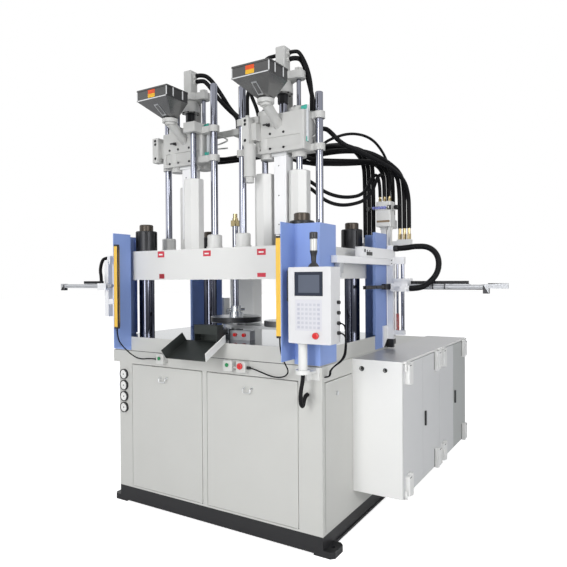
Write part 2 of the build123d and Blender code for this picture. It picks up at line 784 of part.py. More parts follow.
def make_index_arm():
    """Index arm with the middle disc and the round mould nest at the right station."""
    nest_x = mid_x + station
    bar = SlotCenterToCenter(station, arm_width)
    solid = Pos(mid_x + station / 2, pole_y, arm_bottom) * extrude(bar, arm_thick)
    boss_bottom = housing_top + 2
    solid += post(mid_x, pole_y, boss_bottom, disc_bottom, 120.0)
    disc = post(mid_x, pole_y, disc_bottom, disc_top, disc_size)
    solid += chamfer(disc.edges().filter_by(GeomType.CIRCLE), 3)
    nest = post(nest_x, pole_y, arm_bottom + arm_thick - 1, nest_top, nest_size)
    solid += chamfer(nest.edges().filter_by(GeomType.CIRCLE).sort_by(Axis.Z)[-1], 3)
    solid -= post(nest_x, pole_y, arm_bottom + arm_thick + 12, nest_top + 1, nest_bore)
    for turn in range(8):
        spot = Vector(nest_size / 2 - 34, 0, 0).rotate(Axis.Z, 45 * turn + 22.5)
        solid -= post(nest_x + spot.X, pole_y + spot.Y, nest_top - 20, nest_top + 1, 13.0)
    solid -= post(mid_x, pole_y, boss_bottom - 1, disc_top + 1, pole_size)
    return solid


def make_rear_column():
    """Grey riser behind the bed and the short filter box beside it."""
    tall = rounded_box(*riser_x, *riser_y, cabinet_rear_top, riser_top, 8)
    short = rounded_box(*filter_x, *filter_y, cabinet_rear_top, filter_top, 6)
    rib = block(filter_x[1], riser_x[0], *link_y, cabinet_rear_top, link_top)
    return [tall + short + rib]


def make_power_pack():
    """Oil tank, motor and pump in the rear of the cabinet."""
    y0, y1 = tank_y
    half = tank_half_x
    lid_top = tank_top + tank_lid
    tank = rounded_box(-half, half, y0, y1, skid_top, tank_top, tank_corner)
    lid = rounded_box(-half - 20, half + 20, y0 - 20, y1 + 20, tank_top, lid_top, tank_corner)
    x0, x1 = motor_x
    y = (y0 + y1) / 2 - 20
    z = lid_top + motor_fin / 2 + 17
    motor = bar_x(x0, x1, y, z, motor_size)
    for step in range(fin_count):
        fin = x0 + 30 + step * fin_pitch
        motor += bar_x(fin, fin + 10, y, z, motor_fin)
    bell = bar_x(x1, bell_end, y, z, bell_size)
    pump = bar_x(bell_end, pump_end, y, z, pump_size)
    feet = block(x0 + 40, x0 + 80, y - 90, y + 90, lid_top, z - 80)
    feet += block(x1 - 80, x1 - 40, y - 90, y + 90, lid_top, z - 80)
    return [tank + lid + feet + motor + bell + pump]


def make_hmi_post():
    """Post of the operator panel on its bracket at the front of the bed frame."""
    solid = post(post_x, post_y, post_bottom, hmi_z[0] - 8, post_size)
    solid += post(post_x, post_y, post_bottom - 12, post_bottom + 12, post_size + 30)
    arm = block(post_x - 38, post_x + 38, post_y, front_y, post_bottom - 12, post_bottom)
    arm += block(post_x - 52, min(post_x + 52, frame_right_x), front_y - 8, front_y, 984, 1052)
    arm += block(post_x - 6, post_x + 6, post_y + 30, front_y, 984, post_bottom - 12)
    solid += arm
    solid -= post(post_x, post_y, post_bottom, hmi_z[0], post_size - 10)
    return solid


def make_hmi():
    """Panel case with its screen window, keypad field, side sockets and signal lamp."""
    x0, x1 = hmi_x
    y0, y1 = hmi_y
    z0, z1 = hmi_z
    case = block(x0, x1, y0, y1, z0, z1)
    case = fillet(case.edges().filter_by(Axis.Y), hmi_edge)
    case = fillet(case.faces().sort_by(Axis.Y)[0].edges(), 2)
    middle = (x0 + x1) / 2
    case -= block(middle - screen_width / 2 - 4, middle + screen_width / 2 - 4, y0 - 1, y0 + 6,
                  z1 - screen_top_gap - screen_height, z1 - screen_top_gap)
    key_top = z1 - screen_top_gap - screen_height - 18
    field = block(middle - keypad_width / 2 - 4, middle + keypad_width / 2 - 4, y0 - 1, y0 + keypad_recess,
                  key_top - keypad_height, key_top)
    case -= field
    ear = block(x0 - 12, x0, y0 + 6, y1 - 6, z1 - 190, z1 - 10)
    case += chamfer(ear.edges().filter_by(Axis.Y).sort_by(Axis.X)[:2], 11)
    case -= bar_y(middle + 42, y0 - 1, y0 + 14, z0 + 46, button_size - 6)
    for column in range(6):
        for row in range(6):
            key = Box(15, 1.0, 13)
            kx = middle - 4 - keypad_width / 2 + 20 + column * 24
            kz = key_top - keypad_height + 18 + row * 24
            case += Pos(kx, y0 + keypad_recess - 0.4, kz) * key
    for z in (z0 + 58, z0 + 110, z0 + 165, z0 + 220):
        case += bar_x(x1, x1 + 14, y1 - 30, z, 20.0)
    collar = post(post_x, post_y, z0 - 8 + seat_gap, z0, post_size + 14)
    collar += post(post_x, post_y, post_bottom + 60, z0, post_size - 10 - 2 * running_fit)
    case += collar
    return [case, make_lamp()]


def make_lamp():
    """Signal lamp: foot, waisted stem, clear tube and cap."""
    x = (hmi_x[0] + hmi_x[1]) / 2
    y = (hmi_y[0] + hmi_y[1]) / 2
    r = lamp_size / 2
    z = hmi_z[1]
    outline = Polyline(
        (0, z), (r + 10, z), (r + 6, z + 10), (r - 8, z + 24), (r - 6, z + 58), (r, z + 84),
        (r, z + 88), (r - 1.5, z + 88), (r - 1.5, z + 150), (r + 1, z + 150), (r + 1, lamp_top - 4),
        (r - 3, lamp_top), (0, lamp_top), (0, z),
    )
    return Pos(x, y, 0) * revolve(Plane.XZ * make_face(outline), Axis.Z)


def make_electric_cabinet():
    """Hung cabinet on the right side, open towards its doors."""
    x0, x1 = ecab_x
    y0, y1 = ecab_y
    z0, z1 = ecab_z
    face_x = x1 - door_thick
    case = block(x0, face_x - gasket_gap, y0, y1, z0, z1)
    case += block(x0, x1, y0 - 2, y1 + 2, z1 - 14, z1)
    case += block(x0, x1, y0 - 2, y0 + 16, z0, z1)
    case -= block(x0 + 4, x1 + 1, y0 + 20, y1 - 4, z0 + 4, z1 - 18)
    case += block(x0 + 30, x0 + 34, y0 + 60, y1 - 60, z0 + 60, z1 - 80)
    case += block(x0, x0 + 34, y0 + 200, y0 + 230, z0 + 60, z1 - 80)
    case += block(x0, x0 + 34, y1 - 230, y1 - 200, z0 + 60, z1 - 80)
    for x, size in ((x0 + 62, 22.0), (x0 + 212, 19.0)):
        case -= bar_y(x, y0 - 5, y0 + 6, z1 - 56, size)
        ring = bar_y(x, y0 - 5, y0, z1 - 56, size + 8) - bar_y(x, y0 - 6, y0 + 1, z1 - 56, size)
        case += ring
    middle = (y0 + 16 + y1) / 2
    case += block(x0, face_x - gasket_gap, middle - 12, middle + 12, z0 + 4, z1 - 14)
    for index in range(door_count):
        y = door_hinge_y(index)
        case += block(x1 - 1, hinge_x + 8, y - 8, y + 8, z1 - 14, z1)
        case += block(face_x - 16, hinge_x + 8, y - 8, y + 8, z0 - 8, z0)
        case += post(hinge_x, y, z1 - 34, z1 - 14, hinge_pin)
        case += post(hinge_x, y, z0, z0 + 20, hinge_pin)
    return case


door_y0 = ecab_y[0] + 18.0
door_pitch = (ecab_y[1] - door_y0) / door_count
hinge_x = ecab_x[1] + hinge_stand


def door_hinge_y(index):
    """Hinge line of a door, just inside the outer edge of its pair."""
    if index % 2 == 0:
        return door_y0 + door_pitch * index + hinge_line
    return door_y0 + door_pitch * (index + 1) - hinge_line


def make_door(index):
    """One cabinet door with its lift-off hinge covers, and the pull on every second door."""
    y0 = door_y0 + door_pitch * index + 1.5
    y1 = y0 + door_pitch - 3.0
    x0 = ecab_x[1] - door_thick
    x1 = ecab_x[1]
    z0 = ecab_z[0] + 5
    z1 = ecab_z[1] - 14 - 5
    leaf = block(x0, x1, y0, y1, z0, z1)
    leaf -= block(x0 - 1, x1 - 2, y0 + 2, y1 - 2, z0 + 2, z1 - 2)
    leaf += block(x0 + 6, x1 - 1, (y0 + y1) / 2 - 20, (y0 + y1) / 2 + 20, z0 + 60, z1 - 60)
    first = index % 2 == 0
    wide, proud, tall = hinge_cover
    for z in (z0 + hinge_cover_gap, z1 - hinge_cover_gap):
        near = y0 + hinge_cover_inset if first else y1 - hinge_cover_inset
        far = near + wide if first else near - wide
        cover = block(x1 - 1, x1 + proud, near, far, z - tall / 2, z + tall / 2)
        leaf += fillet(cover.edges().filter_by(Axis.Z).sort_by(Axis.X)[-2:], 5)
    if not first:
        pull = block(x1 - 1, x1 + 9, y0 + 34, y0 + 56, pull_z - pull_long / 2, pull_z + pull_long / 2)
        leaf += fillet(pull.edges().filter_by(Axis.X), 6)
    y = door_hinge_y(index)
    for low in (z0, z1 - knuckle_long):
        leaf += post(hinge_x, y, low, low + knuckle_long, hinge_knuckle)
        leaf += block(x1 - 1, hinge_x, y - 4, y + 4, low, low + knuckle_long)
        leaf -= post(hinge_x, y, low - 1, low + knuckle_long + 1, hinge_pin + 2 * running_fit)
    return leaf


def side_of(unit):
    """Minus one for the left unit, plus one for the right."""
    return -1 if unit == 1 else 1


def axis_x(unit):
    """Where a unit's screw line stands along X."""
    return mid_x + side_of(unit) * station


def guide_spots(unit):
    """The outer and inner guide rod of a unit, with the height of their tops."""
    side = side_of(unit)
    x = axis_x(unit)
    outer = (x + side * guide_outer[0], unit_y + guide_outer[1], guide_outer_top)
    inner = (x - side * guide_inner[0], unit_y + guide_inner[1], guide_inner_tops[unit - 1])
    return outer, inner


def seat_spots(unit):
    """The two seat cylinders of a unit: set across the front on the right, askew on the left."""
    x = axis_x(unit)
    spots = seat_left if unit == 1 else seat_right
    return [(x + dx, unit_y + dy) for dx, dy in spots]


def make_guide_rods():
    """Guide rods of both units, standing in their bosses."""
    solids = []
    for unit in (1, 2):
        for x, y, top in guide_spots(unit):
            rod = post(x, y, platen_top + 4, top, guide_size)
            solids.append(chamfer(rod.edges().filter_by(GeomType.CIRCLE).sort_by(Axis.Z)[-1], 3))
    return solids


def make_seat_cylinders():
    """Rod bosses and eight-sided seat cylinders, all bolted to the platen."""
    solids = []
    for unit in (1, 2):
        for x, y, top in guide_spots(unit):
            boss = post(x, y, platen_top, platen_top + boss_flange_thick, boss_flange)
            boss += post(x, y, platen_top, boss_top, boss_size)
            boss = chamfer(boss.edges().filter_by(GeomType.CIRCLE).sort_by(Axis.Z)[-1], 6)
            boss -= post(x, y, platen_top + 4, boss_top + 1, guide_size)
            solids.append(boss)
        top = seat_top
        for x, y in seat_spots(unit):
            case = polygon_post(x, y, platen_top, top, seat_flats, 8, 22.5)
            case = chamfer(case.faces().sort_by(Axis.Z)[-1].edges(), 4)
            case -= post(x, y, platen_top + 60, top - 30, 2 * seat_rod)
            case -= post(x, y, top - 31, top + 1, seat_rod + 2 * running_fit)
            if (unit, x) == (2, axis_x(2) + seat_right[1][0]):
                for z in seat_ports:
                    case += bar_y(x, y + seat_flats / 2 - 4, y + 94, z, 28.0)
            solids.append(case)
    return solids


def make_unit_block(unit):
    """Carriage of one unit: feed block, guide lugs, shot cylinders, throat and side boxes."""
    side = side_of(unit)
    x = axis_x(unit)
    left = x - (block_outer if unit == 1 else block_inner)
    right = x + (block_inner if unit == 1 else block_outer)
    z0, z1 = block_z
    body = block(left, right, unit_y - block_half_y, unit_y + block_half_y, z0, z1)
    body = fillet(body.edges().filter_by(Axis.Z), 10)
    front = unit_y - block_half_y
    body -= block(left + 30, right - 30, front - 1, front + 8, z0 + 24, z0 + 96)
    for gx, gy, top in guide_spots(unit):
        for z in (z0, z1 - lug_thick):
            lug = post(gx, gy, z, z + lug_thick, lug_size)
            edge = left if gx < x else right
            reach_y = min(max(gy, unit_y - block_half_y + 30), unit_y + block_half_y - 30)
            neck = block(gx, edge + (20 if gx < x else -20), gy - 26, gy + 26, z, z + lug_thick)
            if abs(gy - reach_y) > 1:
                neck += block(edge + (40 if gx < x else -40), edge, gy - 26, reach_y, z, z + lug_thick)
            body += lug + neck
    for sx, sy in seat_spots(unit):
        body += block(sx - 50, sx + 50, sy - 46, sy + 46, z1 - lug_thick if unit == 1 else z0,
                      z1 + 24 if unit == 1 else z0 + lug_thick)
    for turn in (-1, 1):
        cx = x + turn * shot_offset[0]
        cy = unit_y + turn * shot_offset[1]
        body += post(cx, cy, *shot_z, shot_cylinder)
        body += post(cx, cy, shot_z[0] - 34, shot_z[0], 96.0)
        body += polygon_post(cx, cy, shot_z[1] - 14, shot_z[1] + 12, 88.0, 8)
    body += make_throat(x)
    body += make_accumulator(x, unit)
    body += make_hose_mounts(unit)
    body += post(x + 190, unit_y - 35, 2400, 2625, 30.0)
    for z in (2408.0, 2600.0):
        body += block(x + 160, x + 200, unit_y - 50, unit_y - 20, z, z + 20)
    for gx, gy, top in guide_spots(unit):
        body -= post(gx, gy, z0 - 1, z1 + 30, guide_size + 2 * running_fit)
    for turn in (-1, 1):
        cx = x + turn * shot_offset[0]
        cy = unit_y + turn * shot_offset[1]
        body -= post(cx, cy, shot_z[0] + 20, shot_z[1] - 24, 90.0)
        body -= post(cx, cy, shot_z[1] - 25, shot_z[1] + 13, shot_rod + 2 * running_fit)
    body -= post(x, unit_y, z0 - 1, z1 + 1, barrel_size)
    for sx, sy in seat_spots(unit):
        end = z1 + 4 if unit == 1 else z0 + lug_thick - 8
        bottom = block_z[0] - seat_stroke - 40 - seat_stroke - 60
        body += post(sx, sy, bottom, end, seat_rod)
    return body


def make_throat(x):
    """Slanted feed throat from the hopper flange down to the feed block."""
    top = Vector(x + neck_centre[0], unit_y + neck_centre[1], hopper_z[0] - 22)
    end = Vector(x + throat_end[0], unit_y + throat_end[1], throat_end[2])
    run = end - top
    pipe = Plane(origin=top, z_dir=run) * Cylinder(
        throat_size / 2, run.length + 24, align=(Align.CENTER, Align.CENTER, Align.MIN)
    )
    solid = pipe + post(top.X, top.Y, hopper_z[0] - 40, hopper_z[0] - 22, throat_size + 6)
    solid += post(top.X, top.Y, hopper_z[0] - 24, hopper_z[0], throat_flange)
    return solid


def make_hopper(unit):
    """Folded sheet hopper: an upright rim over a square funnel, with a sight window frame."""
    x = axis_x(unit)
    low, fold, top = hopper_z
    rim = Pos(x + hopper_centre[0], unit_y + hopper_centre[1], fold) * RectangleRounded(*hopper_size, 4)
    neck = Pos(x + neck_centre[0], unit_y + neck_centre[1], low) * RectangleRounded(*neck_size, 4)
    rim_in = Pos(x + hopper_centre[0], unit_y + hopper_centre[1], fold) * RectangleRounded(
        hopper_size[0] - 2 * hopper_sheet, hopper_size[1] - 2 * hopper_sheet, 2)
    neck_in = Pos(x + neck_centre[0], unit_y + neck_centre[1], low) * RectangleRounded(
        neck_size[0] - 2 * hopper_sheet, neck_size[1] - 2 * hopper_sheet, 2)
    funnel = loft([neck, rim]) - loft([neck_in, rim_in])
    wall = extrude(rim, top - fold) - extrude(rim_in, top - fold)
    cx = x + hopper_centre[0]
    cy = unit_y + hopper_centre[1]
    half_x = hopper_size[0] / 2
    half_y = hopper_size[1] / 2
    lip = rounded_box(cx - half_x - 3, cx + half_x + 3, cy - half_y - 3, cy + half_y + 3, top - 10, top, 6)
    lip -= rounded_box(cx - half_x + 3, cx + half_x - 3, cy - half_y + 3, cy + half_y - 3,
                       top - 11, top + 1, 3)
    return funnel + wall + lip


def make_barrel(unit):
    """Heated barrel with its nozzle, held in the feed block."""
    x = axis_x(unit)
    outline = Polyline(
        (0, nozzle_z), (6, nozzle_z), (14, nozzle_z + 12), (20, nozzle_z + 30), (20, nozzle_z + 90),
        (barrel_size / 2 - 4, nozzle_z + 110), (barrel_size / 2 - 4, 2300), (barrel_size / 2, 2300),
        (barrel_size / 2, block_z[1] - 6), (0, block_z[1] - 6), (0, nozzle_z),
    )
    solid = Pos(x, unit_y, 0) * revolve(Plane.XZ * make_face(outline), Axis.Z)
    solid -= post(x, unit_y, nozzle_z + 120, block_z[1], screw_size + 6)
    solid -= post(x, unit_y, nozzle_z - 1, nozzle_z + 121, 4.0)
    solid -= post(x, unit_y, block_z[1] - shot_stroke - 20, block_z[1], screw_shaft + 6)
    return solid


def make_barrel_cover(unit):
    """Square sheet cover round the barrel, with a darker collar under the feed block."""
    x = axis_x(unit)
    z0, z1 = cover_z
    half = cover_half
    shell = block(x - half, x + half, unit_y - half, unit_y + half, z0, z1)
    shell -= block(x - half + cover_wall, x + half - cover_wall, unit_y - half + cover_wall,
                   unit_y + half - cover_wall, z0 - 1, z1 + 1)
    shell = fillet(shell.edges().filter_by(Axis.Z).sort_by(lambda e: -(abs(e.center().X - x) + abs(
        e.center().Y - unit_y)))[:4], 4)
    collar_half = half + 11
    collar = block(x - collar_half, x + collar_half, unit_y - collar_half, unit_y + collar_half,
                   z1, block_z[0])
    collar -= post(x, unit_y, z1 - 1, block_z[0] + 1, barrel_size)
    for z in (z0 + 60, z0 + 245, z1 - 60):
        shell += bar_y(x - 8, unit_y - half - 2, unit_y - half + 1, z, 8.0)
    return shell + collar


def make_injection_head(unit):
    """Injection crosshead with its two rods, bearing housing, rule plate and motor."""
    x = axis_x(unit)
    z0, z1 = head_z
    dx, dy = shot_offset
    turn = degrees(atan2(dy, dx))
    bar = Rot(0, 0, turn) * SlotCenterToCenter(2 * hypot(dx, dy), 86)
    face = bar + Circle(78)
    solid = Pos(x, unit_y, z0) * extrude(face, z1 - z0)
    mx, my = motor_box
    motor = block(x - mx / 2, x + mx / 2, unit_y - my / 2, unit_y + my / 2, z1, motor_top)
    motor = chamfer(motor.edges().filter_by(Axis.Z), 5)
    solid += fillet(motor.faces().sort_by(Axis.Z)[-1].edges(), 4)
    for side, z in hose_ports(unit):
        solid += bar_x(x, x + side * (mx / 2 + 16), unit_y + 8, z, 34.0)
    outline = Polyline(
        (0, bearing_bottom), (bearing_size / 2, bearing_bottom), (bearing_size / 2, bearing_bottom + 34),
        (bearing_size / 2 - 14, z0), (0, z0), (0, bearing_bottom),
    )
    solid += Pos(x, unit_y, 0) * revolve(Plane.XZ * make_face(outline), Axis.Z)
    solid += block(x - 60, x + 20, unit_y + block_half_y + 6, unit_y + block_half_y + 12, 2640, z0 + 20)
    solid += block(x - 60, x + 20, unit_y + 40, unit_y + block_half_y + 12, z0 + 4, z0 + 30)
    solid -= post(x, unit_y, bearing_bottom - 1, bearing_bottom + 40, screw_shaft + 2 * running_fit)
    for end in (-1, 1):
        cx = x + end * dx
        cy = unit_y + end * dy
        solid += post(cx, cy, shot_z[1] - shot_stroke - 60, z1 + 6, shot_rod)
        solid += polygon_post(cx, cy, z1, z1 + 22, 50.0, 6)
    return solid


def make_screw(unit):
    """Screw with its shaft and coupling, turning in the head."""
    x = axis_x(unit)
    solid = post(x, unit_y, nozzle_z + 170 + shot_stroke, block_z[1] + 10, screw_size)
    solid += post(x, unit_y, block_z[1] + 10, coupling_z[0], screw_shaft)
    solid += polygon_post(x, unit_y, *coupling_z, coupling_size, 8)
    solid += post(x, unit_y, coupling_z[1], bearing_bottom + 34, screw_shaft)
    return solid


def make_valve_knob(unit):
    """Shut-off knob with its cross handle at the foot of the throat."""
    x = axis_x(unit) + (-72 if unit == 1 else -60)
    y = unit_y - block_half_y
    z = 2508.0 if unit == 1 else 2524.0
    solid = bar_y(x, y - 26, y - seat_gap, z, knob_size)
    solid += bar_x(x - 24, x + 24, y - 30, z, 11.0)
    return solid


def make_manifold():
    """Hose manifold behind the rear guard, on an arm from the platen's rear edge."""
    x0, y0, z1 = manifold_corner
    wide, deep, tall = manifold_case
    x1 = x0 + wide
    y1 = y0 + deep
    z0 = z1 - tall
    case = rounded_box(x0, x1, y0, y1, z0, z1, 8)
    case += block(x0 - 3, x1 + 3, y0 - 3, y1 + 3, z1 - 62, z1 - 30)
    rear = bar_rear_y + platen_corner
    arm = block(bars_x[1] - 100, bars_x[1] - 14, rear, rear + 14, platen_top - 150, platen_top + 30)
    arm += block(bars_x[1] - 40, bars_x[1] - 14, rear, y1 - 20, platen_top + 4, platen_top + 30)
    arm += block(bars_x[1] - 40, x0 + 60, y1 - 46, y1 - 20, platen_top + 4, platen_top + 30)
    arm += block(x0 + 20, x0 + 60, y1 - 46, y1 - 20, platen_top + 4, z0)
    bx, by, top = riser_spot
    lower = block(bx - 52, bx + 52, by - 20, by + 20, top - 130, top - 80)
    lower += block(x1 - 20, bx - 40, by - 20, by - 6, top - 120, top - 90)
    lower += block(x1 - 34, x1 - 14, by - 40, by - 6, top - 120, z0 + 10)
    solid = case + arm + lower
    for step in range(3):
        spot = bx + riser_pitch * (step - 1)
        solid += polygon_post(spot, by, top - 80, top - 40, 26.0, 6)
        solid += post(spot, by, top - 40, top, 22.0)
    for step in range(3):
        port_x = x0 + 20 + port_pitch * step
        solid += polygon_post(port_x, y0 + 32, z1, z1 + 24, 22.0, 6)
        solid += post(port_x, y0 + 32, z1 + 24, z1 + 36, 16.0)
        solid += polygon_post(port_x, y1 - 26, z0 - 20, z0, 22.0, 6)
    rear_x, rear_y, rear_z = rear_header
    left_x, left_y, left_z = left_header
    solid += block(x0, x1, y1 - 4, rear_y + 20, rear_z - 100, rear_z - 40)
    left_end = left_x + 2 * header_pitch + 18
    solid += block(left_x - 18, left_end, left_y - 20, left_y + 20, platen_top + 28, left_z - 40)
    for step in range(3):
        solid += post(rear_x + header_pitch * step, rear_y, rear_z - 41, rear_z, 30.0)
        solid += post(left_x + header_pitch * step, left_y, left_z - 41, left_z, 30.0)
    return solid


def make_take_frame():
    """Right take-out frame: hanging post by the rear corner, beam, valve box and lift cylinder."""
    z0, z1 = take_beam_z
    half = take_post / 2
    x, y = take_post_spot
    low, high = take_post_z
    column = block(x - half, x + half, y - half, y + half, low, high)
    column += block(x - half - 2, x + half + 2, y - half - 2, y + half + 2, low - 36, low)
    column -= block(x + half - 6, x + half + 1, y - 8, y + 8, low + 30, z0 - 40)
    guard_face = mid_x + bed_half_x + guard_sheet
    shelf = block(guard_face, x + half, y - half, y, low - 60, low - 36)
    shelf += block(guard_face, guard_face + 10, y - 90, y, bed_seam_z + 8, bed_top_z + 60)
    beam = block(guard_face + 3, x + half - 12, take_beam_front, y + half, z0, z1)
    case_top = high - 28
    case = block(guard_face + 2, x + half, take_case_front, y + half - 2, z1, case_top)
    case = fillet(case.edges().filter_by(Axis.X), 5)
    for dy, size in ((34.0, 24.0), (72.0, 12.0), (110.0, 10.0)):
        case -= bar_x(guard_face, x + half + 1, take_case_front + dy, case_top - 24, size)
    socket = block(x + half - 1, x + half + 6, take_case_front + 60, take_case_front + 140, z1 + 12, z1 + 34)
    gland = bar_x(x + half, x + half + 30, y, high - 18, corrugated_size + 4)
    regulator = rounded_box(guard_face + 4, guard_face + 40, take_beam_front + 40, take_beam_front + 90,
                            z0 - 60, z0, 5)
    regulator += post(guard_face + 22, take_beam_front + 65, z0 - 84, z0 - 60, 30.0)
    lift_x = x + lift_offset
    lift = post(lift_x, y, low + 40, z0 + 10, lift_rod)
    lift += post(lift_x - 38, y, low + 60, z0 + 10, 16.0)
    lift += block(x + half - 1, lift_x + 16, y - 16, y + 16, z0 + 6, z1 + 14)
    lift += block(x + half - 1, lift_x + 16, y - 16, y + 16, low + 30, low + 62)
    reach = block(x - 10, x + 10, y - 480, y - half, take_arm_z[0] + 6, take_arm_z[1] - 6)
    reach -= bar_x(x - 11, x + 11, y - 300, (take_arm_z[0] + take_arm_z[1]) / 2, 10.0)
    reach += block(x - 14, x + 14, y - 150, y - half, take_arm_z[0] - 2, take_arm_z[1] + 2)
    return column + shelf + beam + case + socket + gland + regulator + lift + reach


def make_take_lift():
    """Carriage that rides on the lift rod and carries the horizontal arm."""
    x, y = take_post_spot
    lift_x = x + lift_offset
    z0 = take_arm_z[0] - 16
    z1 = take_arm_z[1] + 40
    solid = block(lift_x - 58, lift_x + 62, y - 30, y + 30, z0, z1)
    solid = fillet(solid.edges().filter_by(Axis.Y), 5)
    for dx, size in ((0.0, lift_rod), (-38.0, 16.0)):
        solid -= post(lift_x + dx, y, z0 - 1, z1 + 1, size + 2 * running_fit)
    y0 = y - 30
    solid += block(lift_x - 58, lift_x + 62, y0 - take_arm_deep - 12, y0, z0, take_arm_z[0] - 2)
    solid += block(lift_x - 58, lift_x + 62, y0 - take_arm_deep - 12, y0 - take_arm_deep - 6, z0, z1 - 30)
    front = y - take_hose_front
    gland_z = take_arm_z[0] + 6
    solid += block(lift_x + 20, lift_x + 62, front - 20, y0 - take_arm_deep - 8, gland_z - 20, gland_z + 20)
    solid += bar_x(lift_x + 61, lift_x + 84, front, take_arm_z[0] + 6, corrugated_size)
    return solid


def make_take_arm():
    """Horizontal take-out arm on its carriage, with the cable chain on top and the end bracket."""
    x, y = take_post_spot
    lift_x = x + lift_offset
    y1 = y - 30 - seat_gap
    y0 = y1 - take_arm_deep + 6
    z0, z1 = take_arm_z
    x0, x1 = take_arm_x
    beam = bar_x(x0, x1, (y0 + y1) / 2, (z0 + z1) / 2, z1 - z0 - 6)
    for spot in (1240.0, 1370.0, x1 - 30):
        beam += bar_x(spot, spot + 12, (y0 + y1) / 2, (z0 + z1) / 2, z1 - z0 - 2)
    beam += block(x1 - 20, x1 + 16, y0, y1, z0 - 26, z1)
    rail = block(x0 + 60, x1, y0 + 8, y1 - 8, z0 - 2 + seat_gap, z0 + 8)
    loop = block(x1 + 10, x1 + take_loop, y0 + 4, y0 + 9, z0 + 6, z1 + 6)
    loop += block(x1 + 10, x1 + take_loop, y1 - 9, y1 - 4, z0 + 6, z1 + 6)
    loop += block(x1 + take_loop - 8, x1 + take_loop, y0 + 4, y1 - 4, z0 + 6, z1 + 6)
    solid = beam + rail + loop
    chain_x0 = lift_x + 78
    for step in range(chain_links):
        link_x = chain_x0 + step * chain_pitch
        solid += block(link_x, link_x + chain_pitch - 3, y0 + 4, y1 - 4, z1 + 2, z1 + 22)
    chain_end = chain_x0 + chain_links * chain_pitch
    solid += block(chain_x0, chain_end, y0 + 9, y1 - 9, z1 - 5, z1 + 6)
    return solid


def make_left_frame():
    """Left take-out frame: hanging post on an outrigger from the bed's left side."""
    x, y = left_post_spot
    low, high = left_post_z
    half = left_post / 2
    solid = block(x - half, x + half, y - half, y + half, low, high)
    guard_face = mid_x - bed_half_x - guard_sheet
    solid += block(x, guard_face, y - 16, y + 16, low + 90, low + 130)
    solid += block(guard_face - 12, guard_face, y - 70, y + 70, low + 50, low + 170)
    deep, tall = left_elbow
    elbow = block(x + 4, x + 4 + deep, y - deep / 2, y + deep / 2, high - 10, high + tall)
    solid += block(x + half - 1, x + 4 + deep, y - deep / 2, y + deep / 2, high - 30, high)
    return solid + fillet(elbow.edges().filter_by(Axis.Y).sort_by(Axis.Z)[-2:], 6)


def make_left_arm():
    """Left take-out arm on its slide block, with the cable chain on top."""
    x, y = left_post_spot
    z0, z1 = left_arm_z
    x0, x1 = left_arm_x
    y1 = y - 20 - seat_gap
    y0 = y1 - take_arm_deep + 6
    beam = bar_x(x0, x1, (y0 + y1) / 2, (z0 + z1) / 2, z1 - z0 - 6)
    beam += block(x0 - 16, x0 + 20, y0, y1, z0 - 20, z1)
    rail = block(x0, x1 - 20, y0 + 8, y1 - 8, z0 - 2 + seat_gap, z0 + 8)
    solid = beam + rail
    chain_x1 = x - left_chain_gap
    for step in range(left_links):
        link_x = chain_x1 - step * chain_pitch
        solid += block(link_x - chain_pitch + 3, link_x, y0 + 4, y1 - 4, z1 + 2, z1 + 20)
    solid += block(chain_x1 - left_links * chain_pitch, chain_x1, y0 + 9, y1 - 9, z1 - 5, z1 + 6)
    return solid


def make_left_slide():
    """Slide block of the left arm on its post."""
    x, y = left_post_spot
    z0, z1 = left_arm_z
    y1 = y - 20
    y0 = y1 - take_arm_deep
    solid = block(x - 44, x + 44, y0 - 6, y1, z0 - 14, z0 - 2)
    solid += block(x - 44, x + 44, y0 - 6, y0 - 1, z0 - 14, z1 + 4)
    return solid


def make_accumulator(x, unit):
    """Three-port box beside the feed block, with a pressure bottle below it on the right unit."""
    spot = port_box_left if unit == 1 else port_box_right
    bx = x + spot[0]
    by = unit_y + spot[1]
    case = Pos(bx, by, port_box_z) * Box(*port_box)
    case = fillet(case.edges().filter_by(Axis.Z), 4)
    for dz in port_holes:
        case -= bar_y(bx, by - 31, by - 22, port_box_z + dz, 20.0)
    solid = case + block(bx, x - 120, by + 4, unit_y - 30, port_box_z - 56, port_box_z + 54)
    if unit == 2:
        bottle_x = x - bottle_spot[0]
        bottle_y = unit_y + bottle_spot[1]
        foot, shoulder, head = bottle_z
        solid += post(bottle_x, bottle_y, shoulder, head, bottle_size)
        solid += post(bottle_x, bottle_y, foot, shoulder, bottle_size - 22)
        solid += post(bx, by, port_box_top - 4, port_box_top + fitting / 2, 26.0)
    return solid


def saddle(unit):
    """Where the motor hoses of a unit are held by its carriage."""
    return saddle_left if unit == 1 else saddle_right


